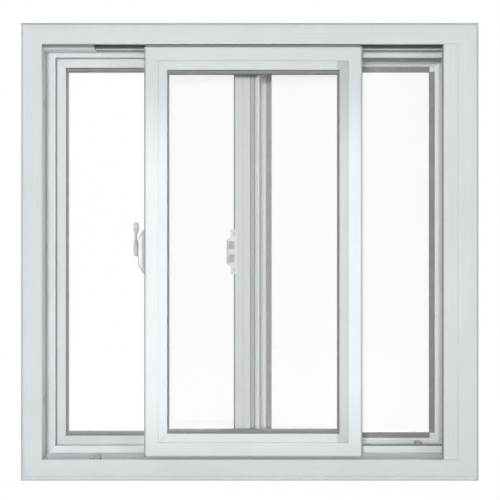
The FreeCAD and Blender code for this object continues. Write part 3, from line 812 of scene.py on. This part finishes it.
@dataclass(frozen=True)
class Screw:
    """Pan-head screw with a cross recess."""

    radius: float
    rise: float
    arm: float = 0.52
    arm_width: float = 0.15
    sunk: float = 0.3 * MM
    crown: tuple[Pair, ...] = ((1.0, 0.35), (0.9, 0.75), (0.7, 1.0))
    recess_floor: Pair = (0.8, 0.3)

    def recess(self) -> list[Vector]:
        """Draw the cross recess for a head of radius 1.

        Returns:
            Its outline, counter-clockwise.
        """
        quarter = [(self.arm, self.arm_width), (self.arm_width,) * 2, (self.arm_width, self.arm)]
        outline = []
        for _ in range(4):
            outline += [Vector((x, y, 0.0)) for x, y in quarter]
            quarter = [(-y, x) for x, y in quarter]
        return outline

    def drive(self, made: Mesh, spot: Vector, axis: Vector) -> None:
        """Add one screw head.

        Args:
            made: Mesh to add to.
            spot: Place of the head's seat.
            axis: Direction in which the head points.
        """
        turn = Vector((0.0, 0.0, 1.0)).rotation_difference(axis)
        cross = self.recess()
        bearings = [math.atan2(point.y, point.x) for point in cross]
        angles = []
        for index, bearing in enumerate(bearings):
            after = bearings[(index + 1) % len(bearings)]
            angles += [bearing, bearing + ((after - bearing) % math.tau) / 2]
        profile = [(1.0, -self.sunk)] + [(wide, self.rise * up) for wide, up in self.crown]

        def put(x: float, y: float, z: float) -> Vertex:
            """Add one vertex, with x and y in radii of the head."""
            return made.verts.new(spot + turn @ Vector((x * self.radius, y * self.radius, z)))

        rows = [[put(math.cos(a) * r, math.sin(a) * r, z) for a in angles] for r, z in profile]
        skin(made, rows)
        made.faces.new(reversed(rows[0]))
        rim = [put(point.x, point.y, self.rise) for point in cross]
        narrow, level = self.recess_floor
        floor = [put(point.x * narrow, point.y * narrow, self.rise * level) for point in cross]
        top = rows[-1]
        for index, vert in enumerate(rim):
            after = (index + 1) % len(rim)
            outer = [top[2 * index], top[2 * index + 1], top[(2 * index + 2) % len(top)]]
            made.faces.new((*outer, rim[after], vert))
            made.faces.new((vert, rim[after], floor[after], floor[index]))
        made.faces.new(floor)


@dataclass
class FrameAssembly:
    """The fixed frame with its tracks, stops, pocket cover, weld seams and screws."""

    seam: WeldSeam = WeldSeam()
    room_seam: Pair = (9.4 * MM, 33.2 * MM)
    weather_seam: Pair = (1.5 * MM, 44.0 * MM)
    screw: Screw = Screw(4.6 * MM, 2.0 * MM)
    screw_floor: float = 33.5 * MM
    screw_spots: tuple[Pair, ...] = ((-22 * MM, 131 * MM), (-22 * MM, 631 * MM))
    hood_half: float = 21 * MM
    flap_size: Point = (36 * MM, 0.9 * MM, 5.5 * MM)
    flap_sunk: float = 1.1 * MM
    flap_round: float = 0.35 * MM
    cover_pile: PileStrip = PileStrip(2.2 * MM, 2.5 * MM)
    cover_pile_depth: float = 1.8 * MM
    divider_pile: PileStrip = PileStrip(3.6 * MM, 2.6 * MM)
    divider_pile_depth: float = 44.0 * MM
    filler_ends: Pair = (33.7 * MM, 121.0 * MM)
    filler_section: tuple[Pair, ...] = (
        (3.3 * MM, 35.6 * MM),
        (4.2 * MM, 36.2 * MM),
        (14.5 * MM, 41.6 * MM),
        (16.0 * MM, 42.0 * MM),
        (38.5 * MM, 42.0 * MM),
        (40.6 * MM, 40.4 * MM),
        (40.6 * MM, 33.6 * MM),
        (3.3 * MM, 33.6 * MM),
    )

    def build(self) -> None:
        """Dress the frame's own nodes and add what is fixed to them."""
        dress(FRAME_ACROSS, ("frame_head", "sill_weep_covers"))
        dress(FRAME_SILL, ("frame_sill",))
        dress(TRACK_ALLOY, ("front_sill_track", "rear_sill_track"))
        dress(GUIDE_GREY, ("front_head_guide", "rear_head_guide"))
        dress(FRAME_UPRIGHT, ("frame_left_jamb", "frame_right_jamb", "jamb_pocket_cover"))
        dress(STOP_GREY, ("front_track_stop", "rear_track_stop"))
        self.seams()
        self.screws()
        self.flaps()
        self.filler()
        self.piles()

    def seams(self) -> Piece:
        """Build the weld seams of the frame's corners.

        Returns:
            The seams, as one piece.
        """
        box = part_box("frame_sill")[0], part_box("frame_head")[1]
        made = bmesh.new()
        self.seam.trim(made, box, self.room_seam, -1.0)
        self.seam.trim(made, box, self.weather_seam, 1.0)
        return mesh_piece("frame_weld_seams", made, FRAME_UPRIGHT, Body.FRAME)

    def screws(self) -> Piece:
        """Build the fixing screws in the jambs.

        Returns:
            The screws, as one piece.
        """
        made = bmesh.new()
        for name, side in (("frame_left_jamb", -1.0), ("frame_right_jamb", 1.0)):
            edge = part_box(name)[0].x if side < 0.0 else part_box(name)[1].x
            for depth, height in self.screw_spots:
                spot = Vector((edge - side * self.screw_floor, depth, height))
                self.screw.drive(made, spot, Vector((-side, 0.0, 0.0)))
        return mesh_piece("jamb_screws", made, SCREW_STEEL, Body.FRAME)

    def flaps(self) -> Piece:
        """Build the hinged flaps on the weep hole covers.

        Returns:
            The flaps, as one piece.
        """
        low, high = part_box("sill_weep_covers")
        length, thick, tall = self.flap_size
        bottom = (low.z + high.z - tall) / 2
        front = high.y - self.flap_sunk
        made = bmesh.new()
        for middle in (low.x + self.hood_half, high.x - self.hood_half):
            left, right = middle - length / 2, middle + length / 2
            block(made, (left, front, bottom), (right, front + thick, bottom + tall))
        soften(made, self.flap_round)
        return mesh_piece("weep_flaps", made, NYLON, Body.FRAME)

    def piles(self) -> Piece:
        """Build the dark pile on the pocket cover's edge and on the sill's divider before the screen, put
        where these gaps are in shade: painted shade.

        Returns:
            The strips, as one piece.
        """
        made = bmesh.new()
        low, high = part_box("jamb_pocket_cover")
        depth, end = low.y + self.cover_pile_depth, self.cover_pile.width
        first, last = Vector((low.x, depth, low.z + end)), Vector((low.x, depth, high.z - end))
        self.cover_pile.lay(made, first, last, Vector((-1.0, 0.0, 0.0)))
        low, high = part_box("frame_sill")
        depth = low.y + self.divider_pile_depth
        first = Vector((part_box("screen_left_bar")[0].x, depth, high.z))
        last = Vector((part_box("frame_right_jamb")[0].x, depth, high.z))
        self.divider_pile.lay(made, first, last, Vector((0.0, 0.0, 1.0)))
        # dark pile: painted shade in the gaps
        return mesh_piece("frame_pile", made, PILE_SHADE, Body.FRAME)

    def filler(self) -> Piece:
        """Build the strip that fills the front head track beyond the sash's travel.

        Returns:
            The strip.
        """
        low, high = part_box("frame_head")
        made = bmesh.new()
        rings = [
            [Vector((low.x + end, low.y + depth, high.z - drop)) for depth, drop in self.filler_section]
            for end in self.filler_ends
        ]
        tube(made, rings)
        return mesh_piece("head_track_filler", made, FILLER_GREY, Body.FRAME)


@dataclass
class SashAssembly:
    """One sliding sash: rails, stiles, beads, sealed unit, rollers, weld seams and pile."""

    body: Body
    stiles: tuple[str, str]
    stile_finish: Finish
    rail_finish: Finish
    bead_finish: Finish
    seam: WeldSeam = WeldSeam(1.8 * MM, 0.12 * MM)
    room_seam: Pair = (3.3 * MM, 23.2 * MM)
    weather_seam: Pair = (3.3 * MM, 38.0 * MM)
    pile: PileStrip = PileStrip(5.0 * MM, 2.4 * MM)
    pile_inset: float = 9.0 * MM
    spacer: SpacerBar = SpacerBar()
    head_pile: PileStrip | None = None
    head_pile_depth: float = 2.2 * MM

    def build(self) -> None:
        """Dress the sash's nodes and add what is fixed to them."""
        own = self.body.value
        dress(self.rail_finish, (f"{own}_top_rail", f"{own}_bottom_rail"))
        dress(self.stile_finish, (f"{own}_{stile}" for stile in self.stiles))
        dress(self.bead_finish, (f"{own}_beads",))
        dress(CLEAR_GLASS, (f"{own}_room_pane", f"{own}_weather_pane"))
        dress(NYLON, (f"{own}_rollers", f"{own}_roller_carriers"))
        self.seams()
        self.piles()
        self.spacers()
        if self.head_pile:
            self.top_pile(self.head_pile)

    def box(self) -> Box:
        """Return the lowest and the highest corner of the sash's welded ring."""
        own = self.body.value
        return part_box(f"{own}_bottom_rail")[0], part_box(f"{own}_top_rail")[1]

    def seams(self) -> Piece:
        """Build the weld seams of the sash's corners.

        Returns:
            The seams, as one piece.
        """
        made = bmesh.new()
        self.seam.trim(made, self.box(), self.room_seam, -1.0)
        self.seam.trim(made, self.box(), self.weather_seam, 1.0)
        name = f"{self.body.value}_weld_seams"
        return mesh_piece(name, made, self.rail_finish, self.body)

    def piles(self) -> Piece:
        """Build the pile strips on the weather side of the stiles.

        Returns:
            The strips, as one piece.
        """
        low, high = self.box()
        made = bmesh.new()
        for x in (low.x + self.pile_inset, high.x - self.pile_inset):
            first = Vector((x, high.y, low.z + 2 * self.pile_inset))
            last = Vector((x, high.y, high.z - 2 * self.pile_inset))
            self.pile.lay(made, first, last, Vector((0.0, 1.0, 0.0)))
        return mesh_piece(f"{self.body.value}_pile", made, PILE_GREY, self.body)

    def top_pile(self, strip: PileStrip) -> Piece:
        """Build the dark pile strip on the sash's top edge, put where it is in shade under the head:
        painted shade.

        Args:
            strip: The kind of strip.

        Returns:
            The strip.
        """
        low, high = self.box()
        made = bmesh.new()
        depth, end = low.y + self.head_pile_depth, strip.width
        first, last = Vector((low.x + end, depth, high.z)), Vector((high.x - end, depth, high.z))
        strip.lay(made, first, last, Vector((0.0, 0.0, 1.0)))
        # dark pile: painted shade under the head
        return mesh_piece(f"{self.body.value}_head_pile", made, PILE_SHADE, self.body)

    def spacers(self) -> Piece:
        """Build the spacer between the panes.

        Returns:
            The spacer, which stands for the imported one.
        """
        node = f"{self.body.value}_spacer"
        made = bmesh.new()
        self.spacer.bend(made, *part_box(node))
        piece = mesh_piece(f"{node}_bar", made, SPACER_GREY, self.body)
        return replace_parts(piece, node)


@dataclass
class InterlockAssembly:
    """The hooked strip on the meeting stile and the pile in the groove beside it."""

    pile: PileStrip = PileStrip(7.6 * MM, 3.2 * MM)
    groove_middle: float = -8.25 * MM
    groove_floor: float = 4.0 * MM

    def build(self) -> Piece:
        """Dress the strip and lay the pile.

        Returns:
            The pile.
        """
        dress(OUTER_STILE, ("outer_sash_interlock",))
        low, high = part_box("outer_sash_interlock")
        stile_low, stile_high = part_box("outer_sash_meeting_stile")
        x = stile_high.x + self.groove_middle
        depth = stile_low.y + self.groove_floor
        made = bmesh.new()
        first, last = Vector((x, depth, low.z)), Vector((x, depth, high.z))
        self.pile.lay(made, first, last, Vector((0.0, -1.0, 0.0)))
        return mesh_piece("interlock_pile", made, PILE_GREY, Body.OUTER)


@dataclass(frozen=True)
class Station:
    """One cross-section of the lever: its height above the pivot, middle and half sizes in mm."""

    height: float
    middle: float
    half_thick: float
    half_wide: float


@dataclass
class LockAssembly:
    """The cam lock on the inner sash and its keeper on the outer sash.

    The lever's stations and its thumb dish are given in mm from the pivot.
    """

    pivot_depth: float = -22 * MM
    sides: int = 32
    squareness: float = 2.8
    stations: tuple[Station, ...] = (
        Station(-7.9, -10.1, 1.6, 1.8),
        Station(-7.2, -10.1, 3.0, 3.6),
        Station(-5.4, -10.1, 4.1, 5.9),
        Station(-2.6, -10.1, 4.6, 7.4),
        Station(0.0, -10.1, 4.7, 7.9),
        Station(5.0, -10.2, 4.5, 7.7),
        Station(10.0, -10.7, 3.9, 6.9),
        Station(16.0, -11.1, 3.3, 5.8),
        Station(21.0, -11.2, 2.6, 4.8),
        Station(25.5, -11.15, 2.2, 4.4),
        Station(30.0, -10.9, 2.6, 4.8),
        Station(34.5, -10.4, 3.6, 5.5),
        Station(36.8, -10.25, 4.15, 5.75),
        Station(39.0, -10.15, 4.5, 5.9),
        Station(41.5, -10.15, 4.65, 5.9),
        Station(44.0, -10.15, 4.7, 5.8),
        Station(45.8, -10.15, 4.6, 5.5),
        Station(47.4, -10.15, 4.3, 5.1),
        Station(49.3, -10.15, 3.2, 3.6),
        Station(49.9, -10.15, 1.5, 1.7),
    )
    dish_height: float = 42.2
    dish_size: Point = (3.5, 3.4, 5.6)
    cam_size: Point = (3.8 * MM, 17.3 * MM, 10.8 * MM)
    cam_round: float = 1.2 * MM
    shaft_radius: float = 3.9 * MM
    shaft_length: float = 9.0 * MM
    case_screw: Screw = Screw(3.4 * MM, 1.3 * MM)
    case_screw_height: float = 29.0 * MM
    case_screw_proud: float = 6.0 * MM
    case_slope: Pair = (-0.894, 0.447)
    keeper_screw: Screw = Screw(2.9 * MM, 1.1 * MM)
    keeper_screw_height: float = 31.0 * MM
    keeper_screw_inset: float = 6.5 * MM
    keeper_plate: float = 3.0 * MM
    panel_outline: tuple[Pair, ...] = (
        (3.4 * MM, 8.0 * MM),
        (4.3 * MM, 7.2 * MM),
        (8.3 * MM, 15.2 * MM),
        (8.7 * MM, 16.8 * MM),
        (8.7 * MM, 55.2 * MM),
        (8.3 * MM, 56.8 * MM),
        (4.3 * MM, 64.8 * MM),
        (3.4 * MM, 64.0 * MM),
    )
    panel_levels: tuple[Pair, ...] = (
        (0.0, 0.3 * MM),
        (0.0, -0.5 * MM),
        (0.35 * MM, -1.0 * MM),
        (0.8 * MM, -1.2 * MM),
    )
    panel_middle: float = 5.0 * MM
    inlay_station: int = -4
    inlay_size: Point = (2.3 * MM, 1.3 * MM, 3.4 * MM)
    inlay_sunk: float = 1.0 * MM
    inlay_rings: int = 5
    pad_size: Point = (9.5 * MM, 0.8 * MM, 14.0 * MM)
    pad_inset: float = 4.2 * MM
    pad_shift: float = 11.2 * MM
    pad_round: float = 0.25 * MM
    pad_ribs: int = 2
    rib_size: Pair = (1.1 * MM, 4.0 * MM)
    rib_inset: float = 1.0 * MM

    def build(self) -> None:
        """Dress the lock's nodes, shape its lever and drive its screws."""
        dress(CASE_SHADED, ("lock_case",))
        dress(LOCK_WHITE, ("lock_keeper",))
        self.lever()
        self.thumb_inlay()
        self.case_panel()
        self.case_screws()
        self.keeper_screws()
        self.shade_pads()

    def pivot(self) -> Vector:
        """Return the lever's pivot at rest."""
        low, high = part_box("lock_case")
        return Vector(((low.x + high.x) / 2, self.pivot_depth, (low.z + high.z) / 2))

    def ring(self, station: Station) -> list[Vector]:
        """Draw the rounded outline of the lever at one station, with its part of the thumb dish.

        Args:
            station: The cross-section's place and size.

        Returns:
            The outline, from the pivot.
        """
        wide, dip, tall = self.dish_size
        outline = []
        for index in range(self.sides):
            angle = math.tau * index / self.sides
            across, deep = math.cos(angle), math.sin(angle)
            x = math.copysign(abs(across) ** (2 / self.squareness), across)
            y = math.copysign(abs(deep) ** (2 / self.squareness), deep)
            near = 1.0 - (x * station.half_thick / wide) ** 2
            near -= ((station.height - self.dish_height) / tall) ** 2
            y = y * station.half_wide + (dip * max(near, 0.0) if deep < 0.0 else 0.0)
            outline.append(Vector((station.middle + x * station.half_thick, y, station.height)) * MM)
        return outline

    def lever(self) -> Piece:
        """Build the lever with its shaft and cam.

        Returns:
            The lever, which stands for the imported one.
        """
        pivot = self.pivot()
        made = bmesh.new()
        thick, long, tall = self.cam_size
        radius = self.shaft_radius
        block(
            made,
            (pivot.x - thick / 2, pivot.y - long, pivot.z - tall / 2),
            (pivot.x + thick / 2, pivot.y + radius, pivot.z + tall / 2),
        )
        soften(made, self.cam_round)
        tube(made, [[pivot + point for point in self.ring(station)] for station in self.stations])
        angles = [math.tau * index / self.sides for index in range(self.sides)]
        shaft = [
            [pivot + Vector((x, math.cos(angle) * radius, math.sin(angle) * radius)) for angle in angles]
            for x in (0.0, -self.shaft_length)
        ]
        tube(made, shaft)
        piece = mesh_piece("lock_lever_cast", made, LEVER_SHADED, Body.LEVER)
        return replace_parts(piece, "lock_lever")

    def case_screws(self) -> Piece:
        """Build the screws on the sloped ends of the lock case.

        Returns:
            The screws, as one piece.
        """
        low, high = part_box("lock_case")
        inward, steep = self.case_slope
        made = bmesh.new()
        for up in (-1.0, 1.0):
            spot = Vector((high.x - self.case_screw_proud, (low.y + high.y) / 2, self.pivot().z))
            spot.z += up * self.case_screw_height
            self.case_screw.drive(made, spot, Vector((inward, 0.0, up * steep)))
        return mesh_piece("lock_case_screws", made, SCREW_STEEL, Body.INNER)

    def keeper_screws(self) -> Piece:
        """Build the screws of the keeper plate.

        Returns:
            The screws, as one piece.
        """
        low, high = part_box("lock_keeper")
        made = bmesh.new()
        for up in (-1.0, 1.0):
            height = (low.z + high.z) / 2 + up * self.keeper_screw_height
            spot = Vector((high.x - self.keeper_screw_inset, high.y - self.keeper_plate, height))
            self.keeper_screw.drive(made, spot, Vector((0.0, -1.0, 0.0)))
        return mesh_piece("lock_keeper_screws", made, SCREW_STEEL, Body.OUTER)

    def case_panel(self) -> Piece:
        """Build the raised panel on the room side of the lock case.

        Returns:
            The panel.
        """
        low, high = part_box("lock_case")
        middle = Vector((high.x - self.panel_middle, low.y, (low.z + high.z) / 2))
        made = bmesh.new()
        rings = []
        for inset, rise in self.panel_levels:
            ring = []
            for proud, up in self.panel_outline:
                spot = Vector((high.x - proud, low.y + rise, low.z + up))
                drawn = Vector((middle.x - spot.x, 0.0, middle.z - spot.z)).normalized()
                ring.append(spot + drawn * inset)
            rings.append(ring)
        tube(made, rings)
        return mesh_piece("lock_case_panel", made, PANEL_WHITE, Body.INNER)

    def shade_pads(self) -> Piece:
        """Build ribbed grey pads in the keeper, dark pieces put where the keeper's pocket is in shade:
        painted shade.

        Returns:
            The pads, as one piece.
        """
        low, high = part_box("lock_keeper")
        wide, thick, tall = self.pad_size
        floor = high.y - self.keeper_plate
        left = low.x + self.pad_inset
        right = left + wide
        rise, broad = self.rib_size
        made = bmesh.new()
        for shift in (-self.pad_shift, self.pad_shift):
            bottom = (low.z + high.z - tall) / 2 + shift
            block(made, (left, floor - thick, bottom), (right, floor + thick / 4, bottom + tall))
            for index in range(self.pad_ribs):
                spot = bottom + tall * (index + 0.5) / self.pad_ribs
                block(
                    made,
                    (left + self.rib_inset, floor - thick - rise, spot - broad / 2),
                    (right - self.rib_inset, floor - thick / 2, spot + broad / 2),
                )
        soften(made, self.pad_round)
        return mesh_piece("lock_keeper_shade_pads", made, KEEPER_SHADE_GREY, Body.OUTER)

    def thumb_inlay(self) -> Piece:
        """Build the small domed white button in the lever's thumb dish, a painted highlight in the dish.

        Returns:
            The button.
        """
        station = self.stations[self.inlay_station]
        floor = -station.half_wide + self.dish_size[1]
        spot = self.pivot() + Vector((station.middle, floor, self.dish_height)) * MM
        half_wide, rise, half_tall = self.inlay_size
        made = bmesh.new()
        rings = []
        for index in range(self.inlay_rings):
            lean = math.pi / 2 * index / self.inlay_rings
            shrink = math.cos(lean)
            back = self.inlay_sunk - (rise + self.inlay_sunk) * math.sin(lean)
            ring = []
            for turn in range(self.sides):
                angle = math.tau * turn / self.sides
                x, z = math.cos(angle) * half_wide, math.sin(angle) * half_tall
                ring.append(spot + Vector((x * shrink, back, z * shrink)))
            rings.append(ring)
        tube(made, rings)
        # white button: painted highlight in the thumb dish
        return mesh_piece("lock_lever_inlay", made, PANEL_WHITE, Body.LEVER)


@dataclass
class ScreenAssembly:
    """The half insect screen: bars, spline, corner keys and mesh."""

    strand: float = 0.1 * MM
    pitch: float = 1.4 * MM
    key_reach: Pair = (12.6 * MM, 21.4 * MM)
    key_depth: Pair = (-0.15 * MM, 2.6 * MM)
    key_round: float = 0.5 * MM
    tab_size: Point = (16 * MM, 1.4 * MM, 11 * MM)
    tab_inset: float = 3 * MM
    tab_sunk: float = 0.2 * MM
    tab_round: float = 0.5 * MM

    def build(self) -> None:
        """Dress the screen's nodes, weave its mesh and fit its corner keys and lift tabs."""
        # painted light on the right and bottom bars, painted shade on the top and left bars
        dress(SCREEN_LIT, ("screen_bottom_bar", "screen_right_bar"))
        dress(SCREEN_SHADED, ("screen_top_bar", "screen_left_bar"))
        dress(SPLINE_GREY, ("screen_spline",))
        self.weave()
        self.keys()
        self.tabs()

    def box(self) -> Box:
        """Return the lowest and the highest corner of the screen's ring."""
        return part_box("screen_bottom_bar")[0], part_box("screen_top_bar")[1]

    def weave(self) -> Piece:
        """Build the insect mesh from its single strands.

        Returns:
            The mesh piece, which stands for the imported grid.
        """
        low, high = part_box("screen_mesh")
        middle = (low.y + high.y) / 2
        half = self.strand / 2
        made = bmesh.new()
        across = int((high.x - low.x) / self.pitch)
        upright = int((high.z - low.z) / self.pitch)
        for index in range(1, across):
            x = low.x + (high.x - low.x) * index / across
            block(made, (x - half, middle - self.strand, low.z), (x + half, middle, high.z))
        for index in range(1, upright):
            z = low.z + (high.z - low.z) * index / upright
            block(made, (low.x, middle, z - half), (high.x, middle + self.strand, z + half))
        piece = mesh_piece("screen_mesh_strands", made, MESH_SILVER, Body.FRAME)
        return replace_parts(piece, "screen_mesh")

    def keys(self) -> Piece:
        """Build the corner keys that show where the spline ends.

        Returns:
            The keys, as one piece.
        """
        low, high = self.box()
        reaches = zip(self.key_reach, self.key_depth)
        outers, inners = (corners(low, high, reach, low.y + depth) for reach, depth in reaches)
        made = bmesh.new()
        for outer, inner in zip(outers, inners):
            lowest = [min(a, b) for a, b in zip(outer, inner)]
            highest = [max(a, b) for a, b in zip(outer, inner)]
            block(made, lowest, highest)
        soften(made, self.key_round)
        return mesh_piece("screen_corner_keys", made, KEY_WHITE, Body.FRAME)

    def tabs(self) -> Piece:
        """Build the lift tabs on the weather side of the upright bars.

        Returns:
            The tabs, as one piece.
        """
        low, high = self.box()
        wide, thick, tall = self.tab_size
        height = low.z + (high.z - low.z) / 3
        back, lip = high.y + thick, high.y + 2 * thick
        made = bmesh.new()
        for x in (low.x + self.tab_inset, high.x - self.tab_inset - wide):
            block(made, (x, high.y - self.tab_sunk, height), (x + wide, back, height + tall))
            block(made, (x, back - self.tab_sunk, height), (x + wide, lip, height + tall / 4))
        soften(made, self.tab_round)
        return mesh_piece("screen_lift_tabs", made, NYLON, Body.FRAME)


@dataclass(frozen=True)
class Lamp:
    """A square lamp that is aimed at a point."""

    name: str
    place: Point
    side: float
    watts: float
    mirrored: bool = True
    aim: Point = (0.0, 0.0, 0.38)

    def build(self) -> bpy.types.Object:
        """Make the lamp.

        Returns:
            The lamp's object.
        """
        data = bpy.data.lights.new(self.name, "AREA")
        data.shape = "SQUARE"
        data.size = self.side
        data.energy = self.watts
        lamp = bpy.data.objects.new(self.name, data)
        lamp.location = self.place
        lamp.rotation_mode = "QUATERNION"
        lamp.rotation_quaternion = (Vector(self.aim) - Vector(self.place)).to_track_quat("-Z", "Y")
        lamp.visible_glossy = self.mirrored
        lamp.visible_transmission = False
        bpy.context.scene.collection.objects.link(lamp)
        return lamp


@dataclass
class Studio:
    """Camera, lamps, pale floor and surroundings."""

    lens: float = 63.7
    eye: Point = (0.0005, -1.518, 0.384)
    floor_reach: float = 30.0
    floor_white: Colour = (0.72, 0.72, 0.72)
    floor_grain: float = 3.0
    floor_tones: Pair = (0.98, 1.02)
    floor_seen: float = 0.17
    floor_glow: float = 0.92
    floor_fade: Pair = (0.7, 1.9)
    ambient: float = 0.05
    lamps: tuple[Lamp, ...] = (
        Lamp("key_lamp", (-0.45, -3.4, 0.72), 0.55, 73.0, mirrored=False),
        Lamp("side_lamp", (-2.8, 0.5, 1.5), 1.4, 42.0),
        Lamp("right_fill_lamp", (2.4, -2.2, 1.1), 1.4, 18.0, mirrored=False),
        Lamp("back_lamp", (1.0, 3.0, 1.7), 1.6, 76.0),
        Lamp("top_lamp", (0.0, 0.0, 1.7), 0.15, 2.4, mirrored=False),
        Lamp("right_lamp", (1.6, 0.04, 0.5), 0.12, 3.2, mirrored=False),
    )

    def build(self) -> None:
        """Set up the whole studio."""
        bpy.context.scene.view_settings.view_transform = "Standard"
        self.camera()
        self.surroundings()
        self.floor()
        for lamp in self.lamps:
            lamp.build()

    def camera(self) -> bpy.types.Object:
        """Place the camera straight before the window's middle.

        Returns:
            The camera.
        """
        data = bpy.data.cameras.new("camera")
        data.lens = self.lens
        camera = bpy.data.objects.new("camera", data)
        camera.location = self.eye
        camera.rotation_euler = (math.pi / 2, 0.0, 0.0)
        bpy.context.scene.collection.objects.link(camera)
        bpy.context.scene.camera = camera
        return camera

    @staticmethod
    def seen(board: Board) -> Socket:
        """Tell apart the rays that show the surroundings: camera, mirrored and refracted ones.

        Args:
            board: Board to add to.

        Returns:
            1 for such rays, 0 for the others.
        """
        path = board.add("ShaderNodeLightPath")
        mirrored = board.calc(path.outputs["Is Camera Ray"], path.outputs["Is Glossy Ray"], "MAXIMUM")
        shown = board.calc(mirrored, path.outputs["Is Transmission Ray"], "MAXIMUM")
        return board.calc(shown, path.outputs["Diffuse Depth"], "GREATER_THAN")

    def surroundings(self) -> None:
        """Make a world that looks white and lights softly."""
        world = bpy.data.worlds.new("studio_world")
        bpy.context.scene.world = world
        board = WorldBoard(world)
        soft = board.add("ShaderNodeBackground", {"Color": WHITE, "Strength": self.ambient})
        white = board.add("ShaderNodeBackground", {"Color": WHITE, "Strength": 1.0})
        both = {0: self.seen(board), 1: soft.outputs[0], 2: white.outputs[0]}
        mixed = board.add("ShaderNodeMixShader", both)
        board.add("ShaderNodeOutputWorld", {"Surface": mixed.outputs[0]})

    def floor(self) -> bpy.types.Object:
        """Lay the pale floor, which shows white where it is lit and keeps the shadow.

        Returns:
            The floor.
        """
        board = Board("pale_floor")
        grain = board.noise(board.place(), self.floor_grain)
        colour = board.tint(grain, *(shade(self.floor_white, tone) for tone in self.floor_tones))
        away = board.add("ShaderNodeVectorMath", {0: board.place()}, operation="LENGTH").outputs["Value"]
        level = board.ramp(away, self.floor_glow, 1.0, *self.floor_fade)
        shown = self.seen(board)
        unseen = board.calc(1.0, shown, "SUBTRACT")
        near = board.calc(board.ramp(away, self.floor_seen, 0.0, *self.floor_fade), unseen, "MAXIMUM")
        faded = board.add("ShaderNodeVectorMath", {0: colour, 1: near}, operation="MULTIPLY").outputs[0]
        matte = board.add("ShaderNodeBsdfDiffuse", {"Color": faded})
        strength = board.calc(shown, level, "MULTIPLY")
        glow = board.add("ShaderNodeEmission", {"Color": WHITE, "Strength": strength})
        both = board.add("ShaderNodeAddShader", {0: matte.outputs[0], 1: glow.outputs[0]})
        reach = self.floor_reach
        outline = ((-reach, -reach, 0.0), (reach, -reach, 0.0), (reach, reach, 0.0), (-reach, reach, 0.0))
        mesh = bpy.data.meshes.new("floor")
        mesh.from_pydata(outline, [], [(0, 1, 2, 3)])
        mesh.materials.append(board.finish(both.outputs[0]))
        floor = bpy.data.objects.new("floor", mesh)
        bpy.context.scene.collection.objects.link(floor)
        return floor


def main() -> None:
    """Build every assembly in order."""
    logging.basicConfig(level=logging.INFO, format="%(message)s")
    Studio().build()
    FrameAssembly().build()
    stiles = ("jamb_stile", "meeting_stile")
    SashAssembly(Body.OUTER, stiles, OUTER_STILE, OUTER_RAIL, OUTER_STILE).build()
    InterlockAssembly().build()
    head_pile = PileStrip(2.6 * MM, 3.3 * MM, uneven=0.2)
    stiles = ("lock_stile", "pull_stile")
    SashAssembly(Body.INNER, stiles, SASH_STILE, SASH_RAIL, SASH_BEAD, head_pile=head_pile).build()
    LockAssembly().build()
    ScreenAssembly().build()


if __name__ == "__main__":
    main()
